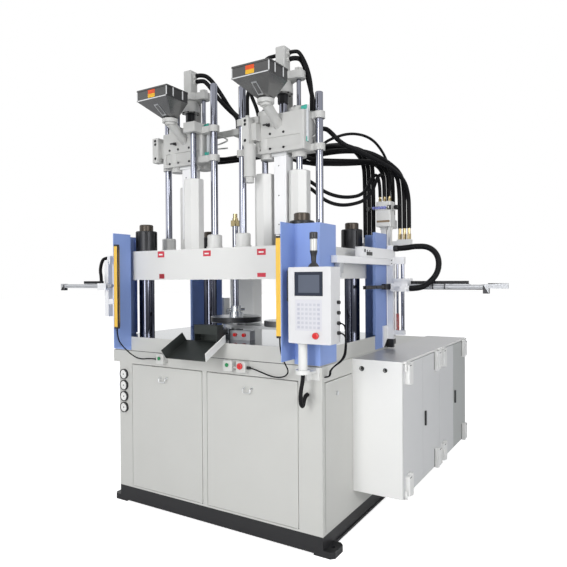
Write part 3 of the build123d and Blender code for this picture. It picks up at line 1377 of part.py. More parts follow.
def make_hose_mounts(unit):
    """Hose saddle behind the feed block and the threaded hose stubs on its top."""
    x = axis_x(unit)
    sx, sy, sz = saddle(unit)
    wide = saddle_half_left if unit == 1 else saddle_half_right
    solid = block(sx - wide, sx + wide, sy - 44, sy + 44, sz - 22, sz + 22)
    solid += block(min(sx, x + 60) - 14, max(sx, x + 60) + 14, sy - 34, sy - 20, sz - 22, sz + 22)
    solid += block(x + 46, x + 74, unit_y + 30, sy - 20, sz - 22, sz + 22)
    port_x, port_z = block_header[unit]
    last_x = port_x + 2 * block_port_pitch
    solid += block(x + port_x - 24, x + last_x + 24, unit_y + block_half_y - 2, unit_y + block_port_y - 26,
                   port_z - 30, port_z + 30)
    for step in range(3):
        spot = x + port_x + block_port_pitch * step
        solid += bar_y(spot, unit_y + block_port_y - 27, unit_y + block_port_y, port_z, fitting)
    if unit == 2:
        solid += block(x - 222, x - 150, unit_y + 14, unit_y + 46, 2536, 2564)
        solid += post(x - 206, unit_y + 30, 2560, 2580, 28.0)
        solid += polygon_post(x + 182, unit_y + 46, block_z[1] - 2, block_z[1] + fitting / 2, 30.0, 6)
        solid += block(x + 150, x + 222, unit_y + 50, unit_y + 92, 2392, 2428)
        solid += bar_y(x + 210, unit_y + 92, unit_y + 112, 2410, 26.0)
    return solid


def hose_ports(unit):
    """Heights and sides of the hose glands on a unit's motor."""
    sides = (1,) if unit == 1 else (-1, 1)
    return [(side, motor_top - drop) for drop in motor_ports for side in sides]


def make_unit_hoses(unit):
    """Hoses from the motor down to the carriage, which rides along with them."""
    x = axis_x(unit)
    root = motor_box[0] / 2 + 16
    y = unit_y + 8
    sx, sy, sz = saddle(unit)
    high, low = motor_top - motor_ports[0], motor_top - motor_ports[1]
    solids = []
    if unit == 1:
        for z, dy, rise in ((high, 18, 0), (low, -18, 0)):
            solids.append(route([
                (x + root, y, z), (x + root + 78, y + 26 + dy, z - 10),
                (x + root + 136, y + 84 + dy, z - 120),
                (sx - 70, sy - 22 + dy, sz + 170), (sx - 6, sy + dy, sz + 110), (sx, sy + dy, sz + 22),
            ], hose_large, PLUS_X, MINUS_Z))
        return solids
    solids.append(route([
        (x - root, y, high), (x - root - 84, y + 10, high + 4), (x - root - 158, y, high - 64),
        (x - 262, y - 16, high - 190), (x - 222, y + 18, high - 306), (x - 206, unit_y + 30, 2580),
    ], hose_size, MINUS_X, MINUS_Z))
    solids.append(route([
        (x + root, y, high), (x + root + 62, y + 12, high - 6), (x + root + 112, y + 26, high - 110),
        (x + 184, unit_y + 46, high - 230), (x + 182, unit_y + 46, block_z[1] + fitting / 2),
    ], hose_size, PLUS_X, MINUS_Z))
    bx = x + port_box_right[0]
    by = unit_y + port_box_right[1]
    solids.append(route([
        (x - root, y, low), (x - root - 70, y - 16, low + 4), (x - root - 130, y - 60, low - 84),
        (bx - 4, by + 4, low - 220), (bx, by, port_box_top + fitting / 2),
    ], hose_size, MINUS_X, MINUS_Z))
    solids.append(route([
        (x + root, y, low), (x + root + 60, y + 56, low), (x + root + 76, y + 110, low - 130),
        (sx - 8, sy - 18, sz + 130), (sx, sy - 18, sz + 22),
    ], hose_large, PLUS_X, MINUS_Z))
    return solids


def make_supply_hoses():
    """Hoses from the carriages and seat cylinders across to the manifold behind the platen."""
    solids = []
    lx, ly, lz = saddle_left
    rx, ry, rz = saddle_right
    bx, by, top = riser_spot
    for dy, end_x in ((18, bx - riser_pitch), (-18, bx)):
        solids.append(route([
            (lx + saddle_half_left, ly + dy, lz), (lx + 113, ly + 8 + dy, lz - 14),
            (lx + 175, ly + 40 + dy, lz - 112),
            (lx + 240, ly + 70 + dy, lz - 196),
            (lx + 330, ly + 92 + dy, lz - 206), (lx + 470, ly + 112 + dy, lz - 210),
            (lx + 610, ly + 134 + dy, lz - 190), (lx + 750, ly + 170 + dy, lz - 184),
            (lx + 885, ly + 250 + dy, lz - 196), (end_x - 30, by - 250 + dy, top + 440),
            (end_x + 20, by - 110, top + 370), (end_x, by - 6, top + 270), (end_x, by, top + 120),
            (end_x, by, top),
        ], hose_large, PLUS_X, MINUS_Z))
    solids.append(route([
        (rx + saddle_half_right, ry - 18, rz), (rx + 86, ry - 6, rz - 16), (rx + 140, ry + 60, rz - 94),
        (rx + 220, ry + 150, rz - 134), (bx - 10, by - 240, top + 400),
        (bx + riser_pitch, by - 96, top + 330), (bx + riser_pitch, by - 6, top + 230),
        (bx + riser_pitch, by, top + 110), (bx + riser_pitch, by, top),
    ], hose_large, PLUS_X, MINUS_Z))
    x = axis_x(2)
    mx, my, mz = manifold_corner
    end = mz + 36
    solids.append(route([
        (x + 210, unit_y + 112, 2410), (x + 250, unit_y + 170, 2450), (x + 350, unit_y + 270, 2500),
        (x + 430, unit_y + 420, 2490), (mx + 96, my - 100, 2430), (mx + 110, my - 30, 2340),
        (mx + 104, my + 26, 2240), (mx + 92, my + 32, end + 90), (mx + 92, my + 32, end),
    ], hose_small, PLUS_Y, MINUS_Z))
    solids += make_block_hoses()
    port_y = unit_y + 94
    for step, z in enumerate(seat_ports):
        end_x = mx + 20 + port_pitch * step
        solids.append(route([
            (x + 118, port_y, z), (x + 130, port_y + 50, z - 8), (x + 196, port_y + 130, z - 76 - 12 * step),
            (x + 278, port_y + 250, z - 98 - 10 * step), (end_x - 36, my - 160, z - 50 + 10 * step),
            (end_x - 10, my - 50, end + 170), (end_x, my + 32, end + 120), (end_x, my + 32, end),
        ], hose_size, PLUS_Y, MINUS_Z))
    return solids


def make_block_hoses():
    """Three hoses from the rear of each feed block, bundled on their way to the headers."""
    solids = []
    y = unit_y + block_port_y
    for step in range(3):
        start = axis_x(2) + block_header[2][0] + block_port_pitch * step
        z = block_header[2][1]
        back = 35 * (2 - step)
        end_x = rear_header[0] + header_pitch * step
        crown = 15 if step == 1 else 0
        solids.append(route([
            (start, y, z), (start + 8, y + 66 + back, z - 14), (start + 90, y + 125 + back, z - 55 - crown),
            (500, -405 + back, z - 65 - crown), (620, -285 + back, z - 60 - crown),
            (700 + 34 * step, 20, z - 25), (end_x, rear_header[1] - 28, z - 75),
            (end_x, rear_header[1], z - 185), (end_x, *rear_header[1:]),
        ], hose_large, PLUS_Y, MINUS_Z))
    for step in range(3):
        start = axis_x(1) + block_header[1][0] + block_port_pitch * step
        z = block_header[1][1]
        back = 34 * (2 - step)
        end_x = left_header[0] + header_pitch * step
        crown = 15 if step == 1 else 0
        solids.append(route([
            (start, y, z), (start + 6, y + 70 + back, z), (start + 100, y + 118 + back, z + crown),
            (20, -412 + back, z + 5 + crown), (220, -394 + back, z - 10 + crown),
            (360, -376 + back, z - 10 + crown),
            (500, -352 + back, z + 10 + crown), (600, -280 + back, z + 16 + crown),
            (end_x + 22, -100, z + 10), (end_x + 6, 60, z - 35), (end_x, left_header[1], z - 135),
            (end_x, left_header[1], z - 300), (end_x, *left_header[1:]),
        ], hose_large, PLUS_Y, MINUS_Z))
    return solids


def make_left_hose():
    """Hose from the elbow on the left post, arching down to the chain of the left arm."""
    x, y = left_post_spot
    top = left_post_z[1] + left_elbow[1] / 2
    low = left_arm_z[1] + 20
    end_x = x - left_chain_gap - hose_size / 2
    end_y = y - 20 - seat_gap - (take_arm_deep - 6) / 2
    return [route([
        (x + 4, y, top), (x - 60, y - 6, top - 14), (x - 66, y - 22, low + 84),
        (end_x, end_y, low),
    ], hose_size, MINUS_X, MINUS_Z)]


def make_curtain_cables():
    """Cables of the two light curtains, round the guard's foot to the control boxes."""
    left_x = mid_x - (bed_half_x - guard_front) + curtain_width / 2
    right_x = mid_x + (bed_half_x - guard_front) - curtain_width / 2
    y = front_y - wing_reach + curtain_deep / 2 - 2
    start = curtain_bottom - curtain_cap
    gland_y = front_y - box_deep / 2
    gland_z = box_z - 4
    left_end = box_left_x - box_width / 2 - gland_long
    right_end = box_red_x + box_width / 2 + gland_long
    left = route([
        (left_x, y, start), (left_x, y, start - 66), (left_x + 8, y + 44, start - 130),
        (left_x + 44, gland_y - 16, start - 196), (left_x + 110, gland_y - 6, gland_z - 10),
        (left_x + 170, gland_y, gland_z), (left_end, gland_y, gland_z),
    ], cable_size, MINUS_Z, PLUS_X)
    right = route([
        (right_x, y, start), (right_x, y, start - 70), (right_x + 4, y + 40, start - 140),
        (right_x + 4, gland_y - 24, start - 200), (right_x - 40, gland_y - 10, gland_z - 34),
        (right_x - 120, gland_y - 4, gland_z - 40), (right_end + 56, gland_y, gland_z - 12),
        (right_end, gland_y, gland_z),
    ], cable_size, MINUS_Z, MINUS_X)
    return [left, right]


def make_panel_hose():
    """Corrugated hose from the foot of the panel post, looping down and back to the front face."""
    low = post_bottom - 12
    drop_x = panel_grommet[0]
    return [route([
        (post_x, post_y, low), (post_x, post_y - 26, low - 90), (post_x - 6, post_y - 18, low - 160),
        (drop_x + 4, post_y + 34, low - 190), (drop_x, front_y - 9, panel_grommet[1]),
    ], hose_size, MINUS_Z, PLUS_Y)]


def make_panel_cables():
    """Two thin cables from the sockets on the panel's side, meeting and running behind the guard."""
    x = hmi_x[1] + 14
    y = hmi_y[1] - 30
    solids = []
    for step, z in enumerate((hmi_z[0] + 58, hmi_z[0] + 110)):
        solids.append(route([
            (x, y, z), (x + 30, y + 4, z - 16), (x + 26 - 6 * step, y + 24, hmi_z[0] - 14),
            (x - 6 - 10 * step, y + 70, hmi_z[0] - 90),
            (frame_right_x + 40, front_y + 16 + 12 * step, bed_seam_z - 10),
            (frame_right_x + 34, front_y + 26 + 12 * step, bed_seam_z - 50),
            (frame_right_x, front_y + 30 + 12 * step, bed_seam_z - 60),
        ], cable_size, PLUS_X, MINUS_X))
    return solids


def make_take_hoses():
    """Corrugated hose loop from the valve box to the arm's carriage."""
    x, y = take_post_spot
    half = take_post / 2
    start = take_post_z[1] - 18
    end_x = x + lift_offset + 84
    end_z = take_arm_z[0] + 6
    return [route([
        (x + half + 30, y, start), (x + half + 150, y - 12, start + 10), (x + half + 262, y - 34, start + 4),
        (x + half + 334, y - 60, start - 66), (x + half + 336, y - 84, start - 176),
        (x + half + 262, y - take_hose_front, start - 258), (end_x, y - take_hose_front, end_z),
    ], corrugated_size, PLUS_X, MINUS_X)]


nodes = {
    "skid": make_skid(),
    "base_cabinet": make_cabinet(),
    "access_panels": make_panels(),
    "pressure_gauges": make_gauges(),
    "bed": make_bed(),
    "clamp_cylinder": make_clamp_cylinder(),
    "corner_guards": [make_guard(side, front) for side in (-1, 1) for front in (True, False)],
    "light_curtains": make_light_curtains(),
    "button_boxes": make_button_boxes(),
    "start_button_left": make_push_button(box_left_x),
    "start_button_right": make_push_button(box_green_x),
    "stop_button": make_mushroom(box_red_x, box_z + 6, front_y - box_deep, button_travel, mushroom_size),
    "part_chute": make_chute(),
    "index_housing": make_index_housing(),
    "index_shaft": make_index_shaft(),
    "index_arm": make_index_arm(),
    "rear_column": make_rear_column(),
    "power_pack": make_power_pack(),
    "tie_bars": make_tie_bars(),
    "ring_nuts": make_ring_nuts(),
    "moving_platen": make_platen(),
    "lower_crosshead": make_crosshead(),
    "guide_rods": make_guide_rods(),
    "seat_cylinders": make_seat_cylinders(),
    "hose_manifold": make_manifold(),
    "panel_post": make_hmi_post(),
    "operator_panel": make_hmi(),
    "panel_stop_button": make_mushroom(
        (hmi_x[0] + hmi_x[1]) / 2 + 42, hmi_z[0] + 46, hmi_y[0], button_travel, stop_size),
    "electric_cabinet": make_electric_cabinet(),
    "take_out_frame": make_take_frame(),
    "take_out_lift": make_take_lift(),
    "take_out_arm": make_take_arm(),
    "left_take_out_frame": make_left_frame() + make_left_slide(),
    "left_take_out_arm": make_left_arm(),
}
for index in range(door_count):
    nodes[f"cabinet_door_{index + 1}"] = make_door(index)
for unit in (1, 2):
    nodes[f"unit_{unit}_carriage"] = make_unit_block(unit)
    nodes[f"unit_{unit}_barrel"] = make_barrel(unit)
    nodes[f"unit_{unit}_barrel_cover"] = make_barrel_cover(unit)
    nodes[f"unit_{unit}_hopper"] = make_hopper(unit)
    nodes[f"unit_{unit}_head"] = make_injection_head(unit)
    nodes[f"unit_{unit}_screw"] = make_screw(unit)
    nodes[f"unit_{unit}_shut_off_knob"] = make_valve_knob(unit)

nodes["curtain_cables"] = make_curtain_cables()
nodes["panel_hose"] = make_panel_hose()
nodes["panel_cables"] = make_panel_cables()
nodes["unit_1_hoses"] = make_unit_hoses(1)
nodes["unit_2_hoses"] = make_unit_hoses(2)
nodes["supply_hoses"] = make_supply_hoses()
nodes["take_out_hose"] = make_take_hoses()
nodes["left_take_out_hose"] = make_left_hose()

for name, shape in nodes.items():
    solids = shape if isinstance(shape, list) else [shape]
    export_step(Compound(children=solids) if len(solids) > 1 else solids[0], f"parts/{name}.step")
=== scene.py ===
# Studio picture of a vertical two-station injection moulding machine, dressed over its solids
import math

import bpy
from mathutils import Matrix, Vector


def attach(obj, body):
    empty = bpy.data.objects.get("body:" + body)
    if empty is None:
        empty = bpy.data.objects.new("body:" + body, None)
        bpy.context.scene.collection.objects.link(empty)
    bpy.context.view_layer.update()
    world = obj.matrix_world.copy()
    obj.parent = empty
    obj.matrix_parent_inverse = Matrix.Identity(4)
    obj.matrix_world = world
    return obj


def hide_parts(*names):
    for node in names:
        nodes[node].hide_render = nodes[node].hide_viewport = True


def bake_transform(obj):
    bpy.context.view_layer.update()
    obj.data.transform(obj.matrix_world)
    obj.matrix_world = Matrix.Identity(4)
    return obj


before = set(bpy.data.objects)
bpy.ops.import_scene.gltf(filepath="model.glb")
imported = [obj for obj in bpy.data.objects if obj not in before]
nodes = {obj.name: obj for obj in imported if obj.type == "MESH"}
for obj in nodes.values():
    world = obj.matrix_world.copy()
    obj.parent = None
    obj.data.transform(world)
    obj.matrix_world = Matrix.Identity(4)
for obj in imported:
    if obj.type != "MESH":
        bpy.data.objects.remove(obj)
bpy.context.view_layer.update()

# Sizes shared with the solids, in metres
mid_x = -0.028
station = 0.387
gauge_x, gauge_top, gauge_pitch, gauge_count = -0.750, 0.891, 0.077, 4
bed_top = 1.155
bed_seam = 1.058
unit_y = -0.670
axis = {1: mid_x - station, 2: mid_x + station}
platen_front = -0.9765
platen_top = 1.745
hopper_off = (0.038, -0.325)
hopper_half = (0.131, 0.101)
hopper_top, hopper_fold, hopper_low = 2.790, 2.718, 2.634
neck_off = (0.020, -0.266)
port_z = (2.428, 2.530, 2.554)
port_off = {1: 0.262, 2: 0.182}
pot_off = (0.108, 0.015)
pot_top = 2.625
bearing_low = 2.735
door_start, door_end, door_count = -0.572, 0.950, 4
door_face = 1.1155
panel_x, panel_top, panel_face = 0.808, 1.6110, -1.160
manifold_x, manifold_front, manifold_top = (0.700, 0.810), 0.052, 2.100
lift_rod = (0.908, 0.024)
lift_cylinder = (0.870, 0.024)

# Light, in watts and as the room's strength
key_light = 132
room_light = 0.40
floor_lift = 0.75

# Camera, as solved from the base's straight edges
camera_place = (2.2075, -3.714, 1.55)
camera_yaw = 31.35
camera_pitch = -0.51
camera_roll = -0.37
camera_focal = 35.06


def set_camera():
    """The photo's view: a 36 mm wide square frame from eye level."""
    data = bpy.data.cameras.new("camera")
    data.lens = camera_focal
    data.sensor_width = 36.0
    camera = bpy.data.objects.new("camera", data)
    bpy.context.collection.objects.link(camera)
    turn = math.radians(camera_yaw)
    roll = math.radians(camera_roll)
    tilt = math.radians(camera_pitch)
    look = Vector((-math.sin(turn) * math.cos(tilt), math.cos(turn) * math.cos(tilt), math.sin(tilt)))
    side = look.cross(Vector((0, 0, 1))).normalized()
    up = side.cross(look).normalized()
    side, up = (
        side * math.cos(roll) + up * math.sin(roll),
        up * math.cos(roll) - side * math.sin(roll),
    )
    camera.matrix_world = Matrix((
        (side.x, up.x, -look.x, camera_place[0]),
        (side.y, up.y, -look.y, camera_place[1]),
        (side.z, up.z, -look.z, camera_place[2]),
        (0, 0, 0, 1),
    ))
    bpy.context.scene.camera = camera


def cord_curve(name, points, diameter):
    """A smooth bevelled curve through the control points of a cord's route."""
    data = bpy.data.curves.new(name, "CURVE")
    data.dimensions = "3D"
    data.bevel_depth = diameter / 2
    data.bevel_resolution = 4
    data.use_fill_caps = True
    data.resolution_u = 10
    spline = data.splines.new("NURBS")
    spline.points.add(len(points) - 1)
    for spot, place in zip(spline.points, points):
        spot.co = (*place, 1.0)
    spline.order_u = 3
    spline.use_endpoint_u = True
    obj = bpy.data.objects.new(name, data)
    bpy.context.collection.objects.link(obj)
    return obj


def centre_line(name, points):
    """The points along a route's smooth line, and its length."""
    bare = cord_curve(name + "_line", points, 0.0)
    bare.data.bevel_depth = 0.0
    bare.data.use_fill_caps = False
    bare.data.resolution_u = 14
    bpy.context.view_layer.update()
    mesh = bpy.data.meshes.new_from_object(bare)
    line = [tuple(v.co) for v in mesh.vertices]
    bpy.data.objects.remove(bare)
    bpy.data.meshes.remove(mesh)
    length = sum((Vector(b) - Vector(a)).length for a, b in zip(line, line[1:]))
    return line, length


def tube_mesh(name, points, diameter, rings=0.0):
    """A cord as a mesh tube along its smooth line, with rings where it is corrugated."""
    line, length = centre_line(name, points)
    if rings:
        steps = max(int(length / rings * 4), 8)
    else:
        steps = len(line) * 2
    spots = even_spots(line, length, steps)
    sides = 14
    verts = []
    faces = []
    frame_up = None
    for index, spot in enumerate(spots):
        before = spots[max(index - 1, 0)]
        after = spots[min(index + 1, len(spots) - 1)]
        ahead = (after - before).normalized()
        if frame_up is None:
            frame_up = ahead.orthogonal().normalized()
        else:
            frame_up = (frame_up - ahead * frame_up.dot(ahead)).normalized()
        across = ahead.cross(frame_up)
        radius = diameter / 2
        if rings:
            radius *= (1.0, 0.97, 0.86, 0.97)[index % 4]
        for side in range(sides):
            angle = 2 * math.pi * side / sides
            verts.append(spot + (frame_up * math.cos(angle) + across * math.sin(angle)) * radius)
    for row in range(len(spots) - 1):
        for side in range(sides):
            a = row * sides + side
            b = row * sides + (side + 1) % sides
            faces.append((a, b, b + sides, a + sides))
    faces.append(tuple(range(sides))[::-1])
    last = (len(spots) - 1) * sides
    faces.append(tuple(range(last, last + sides)))
    mesh = bpy.data.meshes.new(name)
    mesh.from_pydata([tuple(v) for v in verts], [], faces)
    mesh.polygons.foreach_set("use_smooth", [True] * len(faces))
    obj = bpy.data.objects.new(name, mesh)
    bpy.context.collection.objects.link(obj)
    return obj, line, length


def even_spots(line, length, steps):
    """Evenly spaced places along a line of points."""
    spots = [Vector(line[0])]
    goal = length / steps
    walked = 0.0
    for a, b in zip(line, line[1:]):
        a, b = Vector(a), Vector(b)
        run = (b - a).length
        while run > 0 and walked + run >= goal * len(spots) - 1e-9 and len(spots) < steps:
            share = (goal * len(spots) - walked) / run
            spots.append(a.lerp(b, min(max(share, 0), 1)))
        walked += run
    spots.append(Vector(line[-1]))
    return spots


def lay_cord(name, node, points, diameter, ride=None, rings=0.0):
    """One cord in place of its solid: riding on one body, or fixed in place where it runs between two.
    """
    obj, line, length = tube_mesh(name, points, diameter, rings)
    if ride:
        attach(obj, ride)
    else:
        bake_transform(obj)
    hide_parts(node)
    paint_all(obj, "black_rubber" if not rings else "corrugated")
    return obj


# Finishes
def surface(name, colour, rough, metal=0.0, coat=0.0, grain=0.0, scale=60.0, bump=0.0, shine=0.5,
            edge=1.0):
    """A finish with constant values, with faint cloudy variation where grain or bump is given."""
    mat = bpy.data.materials.new(name)
    mat.use_nodes = True
    tree = mat.node_tree
    shader = tree.nodes["Principled BSDF"]
    shader.inputs["Base Color"].default_value = (*colour, 1)
    shader.inputs["Roughness"].default_value = rough
    shader.inputs["Metallic"].default_value = metal
    shader.inputs["Coat Weight"].default_value = coat
    shader.inputs["Specular IOR Level"].default_value = shine
    shader.inputs["Specular Tint"].default_value = (edge, edge, edge, 1)
    if grain or bump:
        place = tree.nodes.new("ShaderNodeTexCoord")
        noise = tree.nodes.new("ShaderNodeTexNoise")
        noise.inputs["Scale"].default_value = scale
        noise.inputs["Detail"].default_value = 6
        tree.links.new(place.outputs["Object"], noise.inputs["Vector"])
        if grain:
            blend = tree.nodes.new("ShaderNodeMix")
            blend.data_type = "RGBA"
            darker = tuple(c * (1 - grain) for c in colour)
            blend.inputs["A"].default_value = (*darker, 1)
            blend.inputs["B"].default_value = (*colour, 1)
            tree.links.new(noise.outputs["Fac"], blend.inputs["Factor"])
            tree.links.new(blend.outputs["Result"], shader.inputs["Base Color"])
        if bump:
            raised = tree.nodes.new("ShaderNodeBump")
            raised.inputs["Strength"].default_value = bump
            raised.inputs["Distance"].default_value = 0.002
            tree.links.new(noise.outputs["Fac"], raised.inputs["Height"])
            tree.links.new(raised.outputs["Normal"], shader.inputs["Normal"])
    return mat


def glow(name, colour, strength):
    """A faintly lit face."""
    mat = surface(name, colour, 0.3)
    shader = mat.node_tree.nodes["Principled BSDF"]
    shader.inputs["Emission Color"].default_value = (*colour, 1)
    shader.inputs["Emission Strength"].default_value = strength
    return mat


# Colour, roughness and the rest of each finish
paints = {
    "beige_paint": ((0.575, 0.575, 0.55), 0.42, dict(grain=0.06, scale=4, bump=0.05)),
    "white_paint": ((0.74, 0.74, 0.725), 0.38, dict(grain=0.05, scale=5, bump=0.05)),
    "cast_white": ((0.56, 0.56, 0.545), 0.5, dict(grain=0.10, scale=14, bump=0.2)),
    "cabinet_white": ((0.80, 0.80, 0.785), 0.38, dict(grain=0.04, scale=4, bump=0.04)),
    "door_white": ((0.66, 0.665, 0.67), 0.40, dict(grain=0.04, scale=5, bump=0.04)),
    # Painted reflection: a darker cloudy grey for the top faces of the white electric cabinet.
    "cabinet_top_reflection": ((0.42, 0.42, 0.425), 0.30, dict(grain=0.10, scale=3, bump=0.06)),
    # Painted reflection: a darker grey-green for the last cabinet door's outer face.
    "door_reflection_grey": ((0.46, 0.475, 0.465), 0.36, dict(grain=0.05, scale=5, bump=0.04)),
    "panel_white": ((0.69, 0.69, 0.70), 0.42, dict(grain=0.03, scale=20, bump=0.05)),
    "bright_white": ((0.90, 0.90, 0.91), 0.4, dict(grain=0.04, scale=12)),
    "black_paint": ((0.012, 0.012, 0.014), 0.45, dict(grain=0.3, scale=9)),
    "blue_paint": ((0.235, 0.34, 0.68), 0.42, dict(grain=0.04, scale=4)),
    "grey_paint": ((0.32, 0.32, 0.32), 0.5, dict(grain=0.08, scale=5)),
    "column_paint": ((0.86, 0.86, 0.85), 0.5, dict(grain=0.10, scale=5, bump=0.1)),
    "yellow_paint": ((0.80, 0.50, 0.07), 0.4, dict()),
    "machined_steel": ((0.52, 0.54, 0.56), 0.24, dict(metal=1.0, grain=0.12, scale=30)),
    "bright_steel": ((0.72, 0.73, 0.74), 0.3, dict(metal=1.0, grain=0.06, scale=60)),
    "bed_steel": ((0.30, 0.33, 0.35), 0.12, dict(metal=1.0, grain=0.15, scale=6)),
    "chute_steel": ((0.085, 0.095, 0.09), 0.30, dict(metal=0.85, grain=0.35, scale=9, bump=0.1)),
    "dark_steel": ((0.18, 0.18, 0.18), 0.34, dict(metal=0.9, grain=0.25, scale=12)),
    "hopper_steel": ((0.15, 0.15, 0.15), 0.27, dict(metal=0.95, grain=0.35, scale=7, bump=0.1)),
    # Painted light: the hopper's funnel slope is a lighter copy of the same steel.
    "hopper_lit_slope": ((0.30, 0.30, 0.30), 0.27, dict(metal=0.95, grain=0.35, scale=7, bump=0.1)),
    # Painted shade: a darker copy of the hopper steel for its side facing +X.
    "hopper_shaded_side": ((0.05, 0.05, 0.052), 0.35, dict(metal=0.8, grain=0.3, scale=8)),
    "dark_metal": ((0.035, 0.035, 0.038), 0.40, dict(metal=0.6, grain=0.3, scale=20)),
    "housing_grey": ((0.075, 0.080, 0.085), 0.42, dict(metal=0.4, grain=0.3, scale=16)),
    "nut_metal": ((0.036, 0.037, 0.040), 0.38, dict(metal=0.7, grain=0.35, scale=16)),
    "bar_top_metal": ((0.075, 0.062, 0.050), 0.38, dict(metal=0.7, grain=0.35, scale=16)),
    # Painted light: near white for the chute's right wall, against the dark steel of the rest of the
    # chute.
    "lit_chute_wall": ((0.86, 0.86, 0.85), 0.40, dict(metal=0.1, grain=0.12, scale=14)),
    "curtain_dark": ((0.045, 0.030, 0.022), 0.4, dict()),
    "chrome": ((0.27, 0.28, 0.33), 0.10, dict(metal=1.0, grain=0.15, scale=4, edge=0.3)),
    "bar_chrome": ((0.105, 0.11, 0.14), 0.11, dict(metal=1.0, grain=0.2, scale=3, edge=0.2)),
    "brass": ((0.50, 0.41, 0.23), 0.3, dict(metal=1.0, grain=0.15, scale=40)),
    "bronze": ((0.16, 0.13, 0.09), 0.35, dict(metal=0.9, grain=0.2, scale=30)),
    "aluminium": ((0.50, 0.51, 0.53), 0.42, dict(metal=0.25, grain=0.10, scale=40, edge=0.6)),
    "grey_plastic": ((0.62, 0.62, 0.60), 0.5, dict()),
    "green_plastic": ((0.02, 0.24, 0.08), 0.25, dict(coat=0.5)),
    "red_plastic": ((0.62, 0.02, 0.02), 0.25, dict(coat=0.5)),
    # Black plastic parts, and also the walls of small holes painted black as shade.
    "black_plastic_and_hole_shade": ((0.014, 0.014, 0.015), 0.35, dict()),
    "black_rubber": ((0.005, 0.005, 0.006), 0.55, dict(shine=0.12)),
    "corrugated": ((0.006, 0.006, 0.007), 0.45, dict(shine=0.15)),
    "chain": ((0.012, 0.012, 0.013), 0.45, dict(shine=0.3)),
    "teal": ((0.05, 0.42, 0.34), 0.4, dict()),
    "red_tag": ((0.56, 0.035, 0.06), 0.45, dict()),
    "red_tag_dark": ((0.32, 0.02, 0.03), 0.45, dict()),
    "tag_white": ((0.80, 0.79, 0.77), 0.5, dict()),
    "orange_field": ((0.66, 0.075, 0.01), 0.45, dict()),
    "yellow_field": ((0.74, 0.42, 0.02), 0.45, dict()),
    "key_field": ((0.65, 0.65, 0.69), 0.4, dict(grain=0.04, scale=30)),
    "key": ((0.54, 0.55, 0.60), 0.4, dict(grain=0.04, scale=60)),
    "key_blue": ((0.50, 0.51, 0.58), 0.4, dict(grain=0.04, scale=60)),
    "dial": ((0.80, 0.80, 0.78), 0.35, dict()),
    "lens": ((0.55, 0.55, 0.52), 0.15, dict(coat=1.0)),
    "red_hose": ((0.60, 0.10, 0.07), 0.35, dict()),
    "clear_hose": ((0.60, 0.62, 0.64), 0.2, dict()),
    # A dark seam line on the bed; on the doors, painted shade beside the hinge leaves.
    "dark_seam_and_shade": ((0.10, 0.10, 0.10), 0.7, dict()),
    "connector_blue": ((0.30, 0.33, 0.72), 0.4, dict(grain=0.2, scale=50)),
    "band_brown": ((0.28, 0.20, 0.12), 0.5, dict(grain=0.2, scale=40)),
}
finish = {}
for paint_name, (paint_colour, paint_rough, paint_more) in paints.items():
    finish[paint_name] = surface(paint_name, paint_colour, paint_rough, **paint_more)
finish["screen"] = glow("screen", (0.006, 0.011, 0.026), 0.2)
finish["screen_field"] = glow("screen_field", (0.066, 0.078, 0.108), 0.3)


def paint_all(obj, name):
    """One finish over a whole piece."""
    obj.data.materials.clear()
    obj.data.materials.append(finish[name])


def paint(obj, name, test):
    """A finish on the faces whose centre and normal pass a test, the others keep theirs."""
    slots = [m.name for m in obj.data.materials]
    if name not in slots:
        obj.data.materials.append(finish[name])
        slots.append(name)
    index = slots.index(name)
    for face in obj.data.polygons:
        if test(face.center, face.normal):
            face.material_index = index


def near(c, x, y, radius):
    """Whether a place is within a radius of an upright axis."""
    return math.hypot(c.x - x, c.y - y) < radius


def mesh_piece(name, verts, faces, mat, body, smooth=False):
    """A new small piece on a body."""
    mesh = bpy.data.meshes.new(name)
    mesh.from_pydata(verts, [], faces)
    if smooth:
        mesh.polygons.foreach_set("use_smooth", [True] * len(faces))
    obj = bpy.data.objects.new(name, mesh)
    bpy.context.collection.objects.link(obj)
    paint_all(obj, mat)
    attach(obj, body)
    return obj


def box_verts(x0, x1, y0, y1, z0, z1):
    """The corners of a box."""
    return [(x, y, z) for z in (z0, z1) for x, y in ((x0, y0), (x1, y0), (x1, y1), (x0, y1))]


BOX_FACES = [(0, 3, 2, 1), (4, 5, 6, 7), (0, 1, 5, 4), (1, 2, 6, 5), (2, 3, 7, 6), (3, 0, 4, 7)]


def boxes(name, spans, mat, body):
    """Several boxes as one piece."""
    verts = []
    faces = []
    for span in spans:
        base = len(verts)
        verts += box_verts(*span)
        faces += [tuple(base + i for i in face) for face in BOX_FACES]
    return mesh_piece(name, verts, faces, mat, body)


def rods(name, spans, mat, body, sides=20):
    """Several round rods as one piece, each from one end's centre to the other with its radius."""
    verts = []
    faces = []
    smooth = []
    for start, end, radius in spans:
        start, end = Vector(start), Vector(end)
        ahead = (end - start).normalized()
        up = ahead.orthogonal().normalized()
        across = ahead.cross(up)
        base = len(verts)
        for place in (start, end):
            for side in range(sides):
                angle = 2 * math.pi * side / sides
                verts.append(tuple(place + (up * math.cos(angle) + across * math.sin(angle)) * radius))
        for side in range(sides):
            a = base + side
            b = base + (side + 1) % sides
            faces.append((a, b, b + sides, a + sides))
            smooth.append(True)
        faces.append(tuple(range(base + sides - 1, base - 1, -1)))
        faces.append(tuple(range(base + sides, base + 2 * sides)))
        smooth += [False, False]
    obj = mesh_piece(name, verts, faces, mat, body)
    obj.data.polygons.foreach_set("use_smooth", smooth)
    return obj


def bolts(name, spots, direction, radius, height, mat, body, hexagon=True):
    """Screw heads on a face, all pointing one way."""
    way = Vector(direction)
    spans = [(Vector(s), Vector(s) + way * height, radius) for s in spots]
    return rods(name, spans, mat, body, sides=6 if hexagon else 16)


